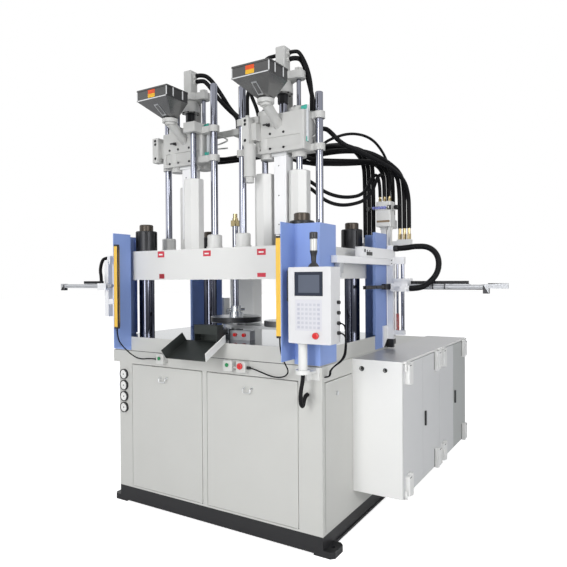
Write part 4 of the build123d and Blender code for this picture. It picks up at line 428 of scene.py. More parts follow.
def smooth_nodes():
    """Shade the solids' curved faces smooth and keep their sharp edges."""
    for obj in nodes.values():
        mesh = obj.data
        mesh.polygons.foreach_set("use_smooth", [True] * len(mesh.polygons))
        if hasattr(mesh, "set_sharp_from_angle"):
            mesh.set_sharp_from_angle(angle=math.radians(32))


def lay_cords():
    """Every hose and cable, on the route that its solid has."""
    lay_cord("curtain_cable_left", "curtain_cables", [
        (-0.668, -1.138, 1.223), (-0.668, -1.138, 1.157), (-0.66, -1.094, 1.093),
        (-0.624, -1.038, 1.027), (-0.558, -1.028, 1.01), (-0.498, -1.022, 1.02), (-0.433, -1.022, 1.02),
    ], 0.008, ride="base")
    lay_cord("curtain_cable_right", "curtain_cables", [
        (0.612, -1.138, 1.223), (0.612, -1.138, 1.153), (0.616, -1.098, 1.083), (0.616, -1.046, 1.023),
        (0.572, -1.032, 0.986), (0.492, -1.026, 0.98), (0.387, -1.022, 1.008), (0.341, -1.022, 1.02),
        (0.331, -1.022, 1.02),
    ], 0.008, ride="base")
    lay_cord("panel_hose", "panel_hose", [
        (0.735, -1.1, 1.03), (0.735, -1.1, 0.999), (0.735, -1.126, 0.94), (0.729, -1.118, 0.87),
        (0.716, -1.066, 0.84), (0.712, -1.04, 0.899), (0.712, -1.009, 0.899),
    ], 0.024, ride="base", rings=0.006)
    lay_cord("panel_cable_low", "panel_cables", [
        (0.95, -1.08, 1.261), (0.96, -1.08, 1.261), (0.98, -1.076, 1.245), (0.976, -1.056, 1.189),
        (0.944, -1.01, 1.113), (0.84, -0.984, 1.048), (0.834, -0.974, 1.008), (0.81, -0.97, 0.998),
        (0.8, -0.97, 0.998),
    ], 0.008)
    lay_cord("panel_cable_high", "panel_cables", [
        (0.95, -1.08, 1.313), (0.96, -1.08, 1.313), (0.98, -1.076, 1.297), (0.97, -1.056, 1.189),
        (0.934, -1.01, 1.113), (0.84, -0.972, 1.048), (0.834, -0.962, 1.008), (0.81, -0.958, 0.998),
        (0.8, -0.958, 0.998),
    ], 0.008)
    lay_cord("unit_1_motor_hose_high", "unit_1_hoses", [
        (-0.365, -0.662, 2.996), (-0.326, -0.662, 2.996), (-0.287, -0.618, 2.986),
        (-0.229, -0.56, 2.876), (-0.18, -0.504, 2.76), (-0.116, -0.482, 2.7), (-0.11, -0.482, 2.651),
        (-0.11, -0.482, 2.612),
    ], 0.03)
    lay_cord("unit_1_motor_hose_low", "unit_1_hoses", [
        (-0.365, -0.662, 2.954), (-0.326, -0.662, 2.954), (-0.287, -0.654, 2.944),
        (-0.229, -0.596, 2.834), (-0.18, -0.54, 2.76), (-0.116, -0.518, 2.7), (-0.11, -0.518, 2.651),
        (-0.11, -0.518, 2.612),
    ], 0.03)
    lay_cord("unit_2_left_arch_hose", "unit_2_hoses", [
        (0.309, -0.662, 2.996), (0.278, -0.662, 2.996), (0.225, -0.652, 3), (0.151, -0.662, 2.932),
        (0.097, -0.678, 2.806), (0.137, -0.644, 2.69), (0.153, -0.64, 2.611), (0.153, -0.64, 2.58),
    ], 0.024)
    lay_cord("unit_2_right_arch_hose", "unit_2_hoses", [
        (0.409, -0.662, 2.996), (0.44, -0.662, 2.996), (0.471, -0.65, 2.99), (0.521, -0.636, 2.886),
        (0.543, -0.624, 2.766), (0.541, -0.624, 2.638), (0.541, -0.624, 2.607),
    ], 0.024)
    lay_cord("unit_2_port_hose", "unit_2_hoses", [
        (0.309, -0.662, 2.954), (0.278, -0.662, 2.954), (0.239, -0.678, 2.958), (0.179, -0.722, 2.87),
        (0.173, -0.806, 2.734), (0.177, -0.81, 2.622), (0.177, -0.81, 2.591),
    ], 0.024)
    lay_cord("unit_2_return_hose", "unit_2_hoses", [
        (0.409, -0.662, 2.954), (0.448, -0.662, 2.954), (0.469, -0.606, 2.954), (0.485, -0.552, 2.824),
        (0.512, -0.518, 2.65), (0.52, -0.518, 2.581), (0.52, -0.518, 2.542),
    ], 0.03)
    lay_cord("supply_hose_1", "supply_hoses", [
        (-0.072, -0.482, 2.59), (-0.033, -0.482, 2.59), (0.003, -0.474, 2.576), (0.065, -0.442, 2.478),
        (0.13, -0.412, 2.394), (0.22, -0.39, 2.384), (0.36, -0.37, 2.38), (0.5, -0.348, 2.4),
        (0.64, -0.312, 2.406), (0.775, -0.232, 2.394), (0.822, -0.102, 2.345), (0.872, 0.02, 2.275),
        (0.852, 0.124, 2.175), (0.852, 0.13, 2.025), (0.852, 0.13, 1.905),
    ], 0.03)
    lay_cord("supply_hose_2", "supply_hoses", [
        (-0.072, -0.518, 2.59), (-0.033, -0.518, 2.59), (0.003, -0.51, 2.576), (0.065, -0.478, 2.478),
        (0.13, -0.448, 2.394), (0.22, -0.426, 2.384), (0.36, -0.406, 2.38), (0.5, -0.384, 2.4),
        (0.64, -0.348, 2.406), (0.775, -0.268, 2.394), (0.856, -0.138, 2.345), (0.906, 0.02, 2.275),
        (0.886, 0.124, 2.175), (0.886, 0.13, 2.025), (0.886, 0.13, 1.905),
    ], 0.03)
    lay_cord("supply_hose_3", "supply_hoses", [
        (0.536, -0.518, 2.52), (0.575, -0.518, 2.52), (0.606, -0.506, 2.504), (0.66, -0.44, 2.426),
        (0.74, -0.35, 2.386), (0.876, -0.11, 2.305), (0.92, 0.034, 2.235), (0.92, 0.124, 2.135),
        (0.92, 0.13, 2.015), (0.92, 0.13, 1.905),
    ], 0.03)
    lay_cord("pilot_hose", "supply_hoses", [
        (0.569, -0.558, 2.41), (0.569, -0.535, 2.41), (0.609, -0.5, 2.45), (0.709, -0.4, 2.5),
        (0.789, -0.25, 2.49), (0.796, -0.048, 2.43), (0.81, 0.022, 2.34), (0.804, 0.078, 2.24),
        (0.792, 0.084, 2.226), (0.792, 0.084, 2.136),
    ], 0.018)
    lay_cord("block_2_hose_1", "supply_hoses", [
        (0.239, -0.54, 2.405), (0.239, -0.501, 2.405), (0.247, -0.404, 2.391), (0.329, -0.345, 2.35),
        (0.5, -0.335, 2.34), (0.62, -0.215, 2.345), (0.7, 0.02, 2.38), (0.722, 0.14, 2.33),
        (0.722, 0.168, 2.22), (0.722, 0.168, 2.01),
    ], 0.03)
    lay_cord("block_2_hose_2", "supply_hoses", [
        (0.294, -0.54, 2.405), (0.294, -0.501, 2.405), (0.302, -0.439, 2.391), (0.384, -0.38, 2.335),
        (0.5, -0.37, 2.325), (0.62, -0.25, 2.33), (0.734, 0.02, 2.38), (0.755, 0.14, 2.33),
        (0.755, 0.168, 2.22), (0.755, 0.168, 2.01),
    ], 0.03)
    lay_cord("block_2_hose_3", "supply_hoses", [
        (0.349, -0.54, 2.405), (0.349, -0.501, 2.405), (0.357, -0.474, 2.391), (0.439, -0.415, 2.35),
        (0.5, -0.405, 2.34), (0.62, -0.285, 2.345), (0.768, 0.02, 2.38), (0.788, 0.14, 2.33),
        (0.788, 0.168, 2.22), (0.788, 0.168, 2.01),
    ], 0.03)
    lay_cord("block_1_hose_1", "supply_hoses", [
        (-0.455, -0.54, 2.435), (-0.455, -0.501, 2.435), (-0.449, -0.402, 2.435),
        (-0.355, -0.354, 2.435), (0.02, -0.344, 2.44), (0.22, -0.326, 2.425), (0.36, -0.308, 2.425),
        (0.5, -0.284, 2.445), (0.6, -0.212, 2.451), (0.614, -0.1, 2.445), (0.598, 0.06, 2.4),
        (0.592, 0.111, 2.3), (0.592, 0.111, 1.85),
    ], 0.03)
    lay_cord("block_1_hose_2", "supply_hoses", [
        (-0.4, -0.54, 2.435), (-0.4, -0.501, 2.435), (-0.394, -0.436, 2.435), (-0.3, -0.388, 2.45),
        (0.02, -0.378, 2.455), (0.22, -0.36, 2.44), (0.36, -0.342, 2.44), (0.5, -0.318, 2.46),
        (0.6, -0.246, 2.466), (0.647, -0.1, 2.445), (0.631, 0.06, 2.4), (0.625, 0.111, 2.3),
        (0.625, 0.111, 1.85),
    ], 0.03)
    lay_cord("block_1_hose_3", "supply_hoses", [
        (-0.345, -0.54, 2.435), (-0.345, -0.501, 2.435), (-0.339, -0.47, 2.435),
        (-0.245, -0.422, 2.435), (0.02, -0.412, 2.44), (0.22, -0.394, 2.425), (0.36, -0.376, 2.425),
        (0.5, -0.352, 2.445), (0.6, -0.28, 2.451), (0.68, -0.1, 2.445), (0.664, 0.06, 2.4),
        (0.658, 0.111, 2.3), (0.658, 0.111, 1.85),
    ], 0.03)
    lay_cord("seat_hose_upper", "supply_hoses", [
        (0.477, -0.576, 2.185), (0.477, -0.545, 2.185), (0.489, -0.526, 2.177), (0.555, -0.446, 2.109),
        (0.637, -0.326, 2.087), (0.684, -0.108, 2.135), (0.71, 0.002, 2.306), (0.72, 0.084, 2.256),
        (0.72, 0.084, 2.136),
    ], 0.024, ride="clamp")
    lay_cord("seat_hose_lower", "supply_hoses", [
        (0.477, -0.576, 2.14), (0.477, -0.545, 2.14), (0.489, -0.526, 2.132), (0.555, -0.446, 2.052),
        (0.637, -0.326, 2.032), (0.72, -0.108, 2.1), (0.746, 0.002, 2.306), (0.756, 0.084, 2.256),
        (0.756, 0.084, 2.136),
    ], 0.024, ride="clamp")
    lay_cord("take_out_hose", "take_out_hose", [
        (0.876, 0.024, 1.757), (0.928, 0.024, 1.757), (0.996, 0.012, 1.767), (1.108, -0.01, 1.761),
        (1.18, -0.036, 1.691), (1.182, -0.06, 1.581), (1.108, -0.076, 1.499), (1.044, -0.076, 1.478),
        (0.992, -0.076, 1.478),
    ], 0.04, rings=0.008)
    lay_cord("left_take_out_hose", "left_take_out_hose", [
        (-1.016, -0.9, 1.71), (-1.047, -0.9, 1.71), (-1.08, -0.906, 1.696), (-1.086, -0.922, 1.624),
        (-1.056, -0.937, 1.571), (-1.056, -0.937, 1.54),
    ], 0.024)


def paint_base():
    """Skid, cabinet, panels, bed and everything bolted to them."""
    paint_all(nodes["skid"], "black_paint")
    for name in ("base_cabinet", "access_panels"):
        paint_all(nodes[name], "beige_paint")
    paint(nodes["access_panels"], "bright_steel", lambda c, n: c.y < -1.006 or c.x > 0.8045)
    gauges = nodes["pressure_gauges"]
    paint_all(gauges, "black_plastic_and_hole_shade")
    for row in range(gauge_count):
        z = gauge_top - gauge_pitch * row
        paint(gauges, "dial", lambda c, n, z=z: n.y < -0.9 and -1.014 < c.y < -1.0125
              and math.hypot(c.x - gauge_x, c.z - z) < 0.030)
    bed = nodes["bed"]
    paint_all(bed, "beige_paint")
    paint(bed, "bed_steel", lambda c, n: n.z > 0.9 and c.z > bed_top - 0.001)
    paint(bed, "dark_seam_and_shade", lambda c, n: abs(c.z - bed_seam) < 0.004 and c.y > -0.9999 and c.y < -0.99)
    paint_all(nodes["clamp_cylinder"], "grey_paint")
    paint_all(nodes["corner_guards"], "blue_paint")
    curtains = nodes["light_curtains"]
    paint_all(curtains, "yellow_paint")
    paint(curtains, "curtain_dark", lambda c, n: c.x < mid_x and n.x > 0.9)
    paint(curtains, "black_plastic_and_hole_shade", lambda c, n: c.z < 1.2352 or c.z > 1.7718)
    paint_all(nodes["button_boxes"], "grey_plastic")
    paint(nodes["button_boxes"], "black_plastic_and_hole_shade", lambda c, n: c.x < -0.412 or c.x > 0.3095)
    paint_all(nodes["start_button_left"], "green_plastic")
    paint_all(nodes["start_button_right"], "green_plastic")
    paint_all(nodes["stop_button"], "red_plastic")
    paint_all(nodes["part_chute"], "chute_steel")
    # The chute's right wall is painted near white: painted light.
    paint(nodes["part_chute"], "lit_chute_wall", lambda c, n: c.x > mid_x + 0.150)
    housing = nodes["index_housing"]
    paint_all(housing, "housing_grey")
    paint(housing, "aluminium", lambda c, n: 0.030 < c.x < 0.195 and c.y < -0.70)
    paint(housing, "red_plastic", lambda c, n: c.y < -0.8202)
    paint(housing, "chrome", lambda c, n: c.x < -0.1 and c.z > 1.2012)
    paint_all(nodes["rear_column"], "column_paint")
    paint_all(nodes["power_pack"], "grey_paint")
    paint_all(nodes["panel_post"], "white_paint")


def paint_table():
    """Pole, union, disc, arm and nest."""
    shaft = nodes["index_shaft"]
    paint_all(shaft, "chrome")
    paint(shaft, "machined_steel", lambda c, n: 1.286 < c.z < 1.369
          and not near(c, mid_x, unit_y, 0.0195))
    paint(shaft, "bronze", lambda c, n: c.z < 1.286 and not near(c, mid_x, unit_y, 0.0195))
    paint(shaft, "brass", lambda c, n: c.z > 1.905)
    arm = nodes["index_arm"]
    paint_all(arm, "bright_steel")
    paint(arm, "nut_metal", lambda c, n: abs(n.z) < 0.5 and 1.2605 < c.z < 1.2975)
    paint(arm, "dark_steel", lambda c, n: abs(n.z) < 0.5 and c.z < 1.2875 and c.x > mid_x + 0.21
          and c.z > 1.247)


def paint_clamp():
    """Platen, bars, nuts and what stands on the platen."""
    paint_all(nodes["tie_bars"], "bar_chrome")
    paint(nodes["tie_bars"], "nut_metal", lambda c, n: c.z > platen_top)
    paint(nodes["tie_bars"], "bar_top_metal", lambda c, n: c.z > 1.800)
    paint_all(nodes["ring_nuts"], "nut_metal")
    paint_all(nodes["moving_platen"], "white_paint")
    paint(nodes["moving_platen"], "bright_steel", lambda c, n: n.z < -0.9)
    paint_all(nodes["lower_crosshead"], "grey_paint")
    paint_all(nodes["guide_rods"], "chrome")
    paint_all(nodes["seat_cylinders"], "white_paint")
    manifold = nodes["hose_manifold"]
    paint_all(manifold, "white_paint")
    paint(manifold, "brass", lambda c, n: c.z > 2.1005 or (c.x > 0.83 and c.z > 1.825))


def paint_unit(unit):
    """One injection unit."""
    x = axis[unit]
    carriage = nodes[f"unit_{unit}_carriage"]
    paint_all(carriage, "cast_white")
    paint(carriage, "clear_hose", lambda c, n: near(c, x + 0.190, unit_y - 0.035, 0.0165)
          and 2.40 < c.z < 2.626)
    paint(carriage, "teal", lambda c, n: x + 0.155 < c.x < x + 0.205
          and unit_y - 0.055 < c.y < unit_y - 0.015 and (2.40 < c.z < 2.43 or 2.595 < c.z < 2.626))
    # The port holes are painted black inside: painted shade.
    for hole_z in port_z:
        hole_x = x - port_off[unit]
        paint(carriage, "black_plastic_and_hole_shade", lambda c, n, hx=hole_x, hz=hole_z: c.y < unit_y - 0.05
              and math.hypot(c.x - hx, c.z - hz) < 0.0103)
    paint_all(nodes[f"unit_{unit}_barrel"], "dark_metal")
    cover = nodes[f"unit_{unit}_barrel_cover"]
    paint_all(cover, "bright_white")
    paint(cover, "bright_steel", lambda c, n: c.z > 2.3295)
    paint(cover, "dark_metal", lambda c, n: c.y < unit_y - 0.0462 and c.z < 2.32)
    hopper = nodes[f"unit_{unit}_hopper"]
    paint_all(hopper, "hopper_steel")
    # Painted light: the funnel's downward slope is coloured lighter than the box above.
    paint(hopper, "hopper_lit_slope", lambda c, n: c.z < 2.718 and n.z < -0.2)
    # Painted shade: the hopper's faces towards +X are darker.
    paint(hopper, "hopper_shaded_side", lambda c, n: n.x > 0.3 and c.z > 2.72)
    head = nodes[f"unit_{unit}_head"]
    paint_all(head, "cast_white")
    for side in (-1, 1):
        rx = x + side * pot_off[0]
        ry = unit_y + side * pot_off[1]
        paint(head, "chrome", lambda c, n, rx=rx, ry=ry: near(c, rx, ry, 0.0145) and c.z < 2.816)
    screw = nodes[f"unit_{unit}_screw"]
    paint_all(screw, "chrome")
    paint(screw, "nut_metal", lambda c, n: 2.671 < c.z < 2.7315)
    paint_all(nodes[f"unit_{unit}_shut_off_knob"], "dark_metal")
    rod_spots = ((0.134, -0.130), (-0.134, 0.130)) if unit == 1 else ((-0.141, 0.0), (0.118, 0.0))
    for dx, dy in rod_spots:
        paint(carriage, "chrome", lambda c, n, dx=dx, dy=dy: near(c, x + dx, unit_y + dy, 0.0205)
              and c.z < (2.547 if unit == 1 else 2.3495))


def paint_panel():
    """Operator panel: screen, key field, keys, lamp and sockets."""
    panel = nodes["operator_panel"]
    paint_all(panel, "panel_white")
    paint(panel, "black_plastic_and_hole_shade", lambda c, n: c.x > 0.9365 or c.z > 1.6115)
    paint(panel, "lens", lambda c, n: 1.6995 < c.z < 1.7612 and c.x > 0.75)
    paint(panel, "key_field", lambda c, n: n.y < -0.9 and -1.1596 < c.y < -1.158 and c.z < 1.46)
    paint(panel, "key", lambda c, n: n.y < -0.9 and -1.1598 < c.y < -1.1591 and c.z < 1.46)
    paint(panel, "screen", lambda c, n: n.y < -0.9 and -1.156 < c.y < -1.152)
    paint_all(nodes["panel_stop_button"], "red_plastic")


def paint_cabinet():
    """Electric cabinet and its doors."""
    paint_all(nodes["electric_cabinet"], "cabinet_white")
    # Painted reflection: the cabinet's top faces are a darker cloudy grey.
    paint(nodes["electric_cabinet"], "cabinet_top_reflection", lambda c, n: n.z > 0.9 and c.z > 0.9)
    paint(nodes["electric_cabinet"], "black_plastic_and_hole_shade", lambda c, n: c.y < -0.5921 or
          (c.y < -0.583 and n.y < -0.9 and c.y > -0.586))
    for index in range(door_count):
        door = nodes[f"cabinet_door_{index + 1}"]
        paint_all(door, "door_white")
        # Painted reflection: the last door's outward face is a darker grey-green.
        if index == door_count - 1:
            paint(door, "door_reflection_grey", lambda c, n: n.x > 0.9 and c.x < door_face)
        if index % 2:
            paint(door, "black_plastic_and_hole_shade", lambda c, n: c.x > door_face and 0.58 < c.z < 0.68)
        paint(door, "cabinet_white", lambda c, n: c.x > 1.1158 and not 0.5 < c.z < 0.8)


def paint_take_out():
    """Side take-out arms."""
    frame_node = nodes["take_out_frame"]
    paint_all(frame_node, "bright_white")
    paint(frame_node, "black_plastic_and_hole_shade", lambda c, n: c.z < 1.1201 and c.x > 0.799)
    paint(frame_node, "chrome", lambda c, n: near(c, *lift_rod, 0.0125))
    paint(frame_node, "chrome", lambda c, n: near(c, *lift_cylinder, 0.0083))
    paint(frame_node, "dark_metal", lambda c, n: c.y < -0.002 and 1.46 < c.z < 1.512)
    paint(frame_node, "black_plastic_and_hole_shade", lambda c, n: c.x > 0.8465 and c.z > 1.735)
    paint(frame_node, "black_plastic_and_hole_shade", lambda c, n: 0.8462 < c.x < 0.8535 and 1.690 < c.z < 1.720)
    # The bores are painted black inside: painted shade.
    for bore_y, bore_size in ((-0.496, 0.0123), (-0.458, 0.0063), (-0.420, 0.0053)):
        paint(frame_node, "black_plastic_and_hole_shade", lambda c, n, by=bore_y, size=bore_size: abs(n.x) < 0.3
              and math.hypot(c.y - by, c.z - 1.723) < size)
    paint(frame_node, "aluminium", lambda c, n: c.y < -0.77 and c.z < 1.64)
    paint_all(nodes["take_out_lift"], "bright_white")
    paint_all(nodes["left_take_out_frame"], "bright_white")
    for name, low in (("take_out_arm", 1.507), ("left_take_out_arm", 1.521)):
        arm = nodes[name]
        paint_all(arm, "aluminium")
        paint(arm, "chain", lambda c, n, low=low: c.z > low)
        paint(arm, "dark_metal", lambda c, n, low=low: c.z < low - 0.033)


def dress_platen():
    """Plain red fields and mould bolts on the platen's front."""
    y = platen_front
    tags = [(-0.421, 1.7170, 0.058, 0.040, "red_tag"), (-0.027, 1.7130, 0.061, 0.036, "red_tag"),
            (0.387, 1.7100, 0.062, 0.037, "red_tag"), (-0.415, 1.5705, 0.045, 0.032, "red_tag_dark"),
            (0.387, 1.5730, 0.060, 0.024, "red_tag")]
    bars = []
    for index, (x, z, w, h, mat) in enumerate(tags):
        boxes(f"platen_tag_{index}", [
            (x - w / 2, x + w / 2, y - 0.0006, y + 0.0008, z - h / 2, z + h / 2),
        ], mat, "clamp")
        if index < 3:
            bars.append((x - w * 0.30, x + w * 0.26, y - 0.0012, y, z - h * 0.16, z + h * 0.10))
    boxes("platen_tag_bars", bars, "tag_white", "clamp")
    spots = []
    for x in (mid_x - 0.60, mid_x + 0.60):
        for z in (1.585, 1.705):
            spots.append((x, -0.970, z))
    bolts("platen_bolts", spots, (0, -1, 0), 0.009, 0.004, "bright_steel", "clamp", hexagon=False)


def dress_hopper(unit):
    """Two plain colour fields, rim seams, clips and the sight window."""
    x = axis[unit] + hopper_off[0]
    y = unit_y + hopper_off[1]
    half_x, half_y = hopper_half
    top, fold = hopper_top, hopper_fold
    body = f"carriage_{unit}"
    front = y - half_y
    for colour, low, high in (("orange", 2.752, 2.778), ("yellow", 2.728, 2.752)):
        boxes(f"hopper_{unit}_field_{colour}", [
            (x - 0.032, x + 0.028, front - 0.0008, front + 0.0005, low, high),
        ], f"{colour}_field", body)
    edge = 0.006
    trim = [
        (x - half_x - 0.001, x + half_x + 0.001, front - 0.0015, front + 0.001, fold, fold + edge),
        (x - half_x - 0.001, x - half_x + edge, front - 0.0015, front + 0.001, fold, top - 0.01),
        (x + half_x - edge, x + half_x + 0.001, front - 0.0015, front + 0.001, fold, top - 0.01),
    ]
    boxes(f"hopper_{unit}_seams", trim, "bright_steel", body)
    clips = []
    for step in (-0.045, 0.045):
        clips.append((x + half_x, x + half_x + 0.004, y + step - 0.005, y + step + 0.005,
                      fold + 0.010, top - 0.008))
    boxes(f"hopper_{unit}_clips", clips, "bright_steel", body)
    slope_window(f"hopper_{unit}_window", unit, body)


def slope_window(name, unit, body):
    """A narrow sight window lying on the funnel's front slope."""
    x = axis[unit]
    upper = Vector((x + hopper_off[0], unit_y + hopper_off[1] - hopper_half[1], hopper_fold))
    lower = Vector((x + neck_off[0], unit_y + neck_off[1], hopper_low))
    run = lower - upper
    across = Vector((1, 0, 0))
    out = run.cross(across).normalized()
    if out.y > 0:
        out = -out

    def quad(s0, s1, w, lift, thick):
        a = upper + run * s0
        b = upper + run * s1
        corners = [a - across * w, a + across * w, b + across * w, b - across * w]
        return [tuple(c + out * height) for height in (lift, lift + thick) for c in corners]

    faces = [(0, 1, 2, 3), (7, 6, 5, 4), (0, 4, 5, 1), (1, 5, 6, 2), (2, 6, 7, 3), (3, 7, 4, 0)]
    start, end, half, rim = 0.26, 0.84, 0.018, 0.006
    mesh_piece(name + "_rim", quad(start, end, half, 0.0002, 0.0022), faces, "bright_steel", body)
    # The pane takes the slope's lighter colour, which is painted light.
    mesh_piece(name + "_pane", quad(start + rim * 10, end - rim * 10, half - rim, 0.0026, 0.0006), faces,
               "hopper_lit_slope", body)


def dress_unit(unit):
    """Screw heads on a unit's block, cylinders and bearing."""
    x = axis[unit]
    body = f"carriage_{unit}"
    y = unit_y - 0.080
    spots = [(x + dx, y, z) for dx in (-0.13, -0.05, 0.05) for z in (2.375, 2.470)]
    bolts(f"unit_{unit}_block_screws", spots, (0, -1, 0), 0.008, 0.004, "dark_metal", body,
          hexagon=False)
    spots = []
    for side in (-1, 1):
        cx = x + side * pot_off[0]
        cy = unit_y + side * pot_off[1]
        for turn in range(6):
            angle = math.radians(60 * turn + 30)
            spots.append((cx + 0.053 * math.cos(angle), cy + 0.053 * math.sin(angle), pot_top))
    bolts(f"unit_{unit}_cylinder_screws", spots, (0, 0, 1), 0.007, 0.010, "dark_metal", body)
    head = f"head_{unit}"
    spots = []
    for turn in range(8):
        angle = math.radians(45 * turn + 22.5)
        spots.append((x + 0.056 * math.cos(angle), unit_y + 0.056 * math.sin(angle), bearing_low))
    bolts(f"unit_{unit}_bearing_screws", spots, (0, 0, -1), 0.006, 0.005, "dark_metal", head,
          hexagon=False)


def bent_bracket(name, corners, radius, mat, body):
    """A round bar bent through several corners."""
    bare = cord_curve(name, corners, radius * 2)
    bare.data.use_fill_caps = True
    mesh = bpy.data.meshes.new_from_object(bare)
    bpy.data.objects.remove(bare)
    mesh.name = name
    mesh.polygons.foreach_set("use_smooth", [True] * len(mesh.polygons))
    obj = bpy.data.objects.new(name, mesh)
    bpy.context.collection.objects.link(obj)
    paint_all(obj, mat)
    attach(obj, body)
    return obj


def dress_brackets():
    """White bent bars that keep the hoses beside each unit."""
    y = unit_y + 0.050
    bent_bracket("unit_1_hose_bracket", [
        (-0.250, y, 2.566), (-0.215, y, 2.566), (-0.136, y, 2.528), (-0.126, y, 2.518),
        (-0.136, y, 2.508), (-0.215, y, 2.494), (-0.250, y, 2.494),
    ], 0.0055, "cast_white", "carriage_1")
    bent_bracket("unit_1_hose_bar", [
        (-0.250, y, 2.466), (-0.200, y, 2.466), (-0.150, y, 2.462), (-0.128, y, 2.462),
    ], 0.0055, "cast_white", "carriage_1")
    y = unit_y + 0.030
    bent_bracket("unit_2_hose_bracket", [
        (0.500, y, 2.600), (0.535, y, 2.600), (0.552, y, 2.580), (0.590, y, 2.500), (0.596, y, 2.468),
        (0.580, y, 2.446), (0.540, y, 2.440), (0.500, y, 2.440),
    ], 0.0060, "cast_white", "carriage_2")


def dress_manifold():
    """Connector row, plug, bands and handwheels of the hose manifold."""
    left, right = manifold_x
    front, top = manifold_front, manifold_top
    face = front - 0.003
    row = []
    for step in range(5):
        x = left - 0.012 + step * 0.021
        row.append(((x, face, top - 0.046), (x, face - 0.015, top - 0.046), 0.0105))
        row.append(((x, face - 0.015, top - 0.046), (x, face - 0.0215, top - 0.046), 0.0070))
    rods("manifold_connectors", row, "connector_blue", "clamp", sides=12)
    boxes("manifold_plug", [(left + 0.094, right + 0.006, face - 0.020, face, top - 0.060, top - 0.032)],
          "black_plastic_and_hole_shade", "clamp")
    boxes("manifold_plug_mark", [
        (left + 0.100, left + 0.106, face - 0.021, face - 0.019, top - 0.055, top - 0.037),
    ], "tag_white", "clamp")
    boxes("manifold_band", [
        (left + 0.006, right - 0.006, front - 0.0015, front + 0.001, top - 0.150, top - 0.136),
    ], "band_brown", "clamp")
    boxes("manifold_dark_band", [
        (left - 0.0012, right + 0.0012, front - 0.0012, front + 0.0932, top - 0.062, top - 0.030),
    ], "black_plastic_and_hole_shade", "clamp")
    wheels = []
    for x in (left - 0.060, right + 0.040):
        wheels.append(((x, front + 0.030, top - 0.046), (x - 0.008, front + 0.012, top - 0.046), 0.017))
    rods("manifold_handwheels", wheels, "black_plastic_and_hole_shade", "clamp", sides=16)
    stems = [((left - 0.060, front + 0.030, top - 0.046), (left, front + 0.030, top - 0.046), 0.005),
             ((right, front + 0.030, top - 0.046), (right + 0.040, front + 0.030, top - 0.046), 0.005)]
    rods("manifold_stems", stems, "bright_steel", "clamp", sides=10)


def dress_take_out():
    """Screws, bands and the red coil of the right take-out."""
    post_face = 0.8462
    spots = []
    for y in (-0.030, 0.034):
        for z in (1.650, 1.672):
            spots.append((post_face, y, z))
    bolts("take_out_screws", spots, (1, 0, 0), 0.005, 0.003, "dark_metal", "base", hexagon=False)
    bands = []
    for x in (1.135, 1.215):
        bands.append((x, x + 0.004, -0.0485, 0.0005, 1.4705, 1.5075))
    boxes("take_out_arm_bands", bands, "dark_metal", "take_out_arm")
    turns = []
    coil_turns, coil_radius, coil_low, coil_rise = 15, 0.0115, 1.165, 0.0011
    for step in range(coil_turns * 8 + 1):
        angle = math.radians(45 * step)
        turns.append((lift_cylinder[0] + coil_radius * math.cos(angle),
                      lift_cylinder[1] + coil_radius * math.sin(angle), coil_low + coil_rise * step))
    bent_bracket("take_out_coil", turns, 0.0026, "red_hose", "base")


def dress_doors():
    """Wide leaves of the hinge covers, with thin dark strips beside them as painted shade."""
    pitch = (door_end - door_start) / door_count
    face, proud = 1.1145, 1.1395
    for index in range(door_count):
        start = door_start + pitch * index
        side = 1 if index % 2 == 0 else -1
        near = start + 0.038 if side > 0 else start + pitch - 0.038
        leaves, slots = [], []
        for z in (0.305, 0.975):
            ends = sorted((near + side * 0.044, near + side * 0.078))
            leaves.append((face, proud, *ends, z - 0.067, z + 0.067))
            ends = sorted((near + side * 0.080, near + side * 0.088))
            slots.append((face, face + 0.002, *ends, z - 0.060, z + 0.064))
            ends = sorted((near + side * 0.006, near + side * 0.040))
            slots.append((proud + 0.0005, proud + 0.002, *ends, z + 0.049, z + 0.054))
        boxes(f"door_{index + 1}_leaves", leaves, "cabinet_white", f"door_{index + 1}")
        # The dark strips are painted shade around the hinge leaves.
        boxes(f"door_{index + 1}_slots", slots, "dark_seam_and_shade", f"door_{index + 1}")


def dress_panel():
    """Function keys, screen field and the signal lamp's ring on the operator panel."""
    keys = []
    key_pitch = 0.024
    for column in (0, 5):
        for row in range(6):
            x = panel_x - 0.064 + column * key_pitch
            z = panel_top - 0.320 + row * key_pitch
            keys.append((x - 0.0075, x + 0.0075, panel_face - 0.0002, panel_face + 0.0008,
                         z - 0.0065, z + 0.0065))
    boxes("panel_blue_keys", keys, "key_blue", "panel")
    boxes("panel_screen_field", [
        (panel_x - 0.067, panel_x + 0.059, panel_face + 0.005, panel_face + 0.0065, 1.474, 1.568),
    ], "screen_field", "panel")
    rods("panel_signal_ring", [
        ((panel_x, -1.105, 1.7615), (panel_x, -1.105, 1.7665), 0.0225),
    ], "black_plastic_and_hole_shade", "panel")


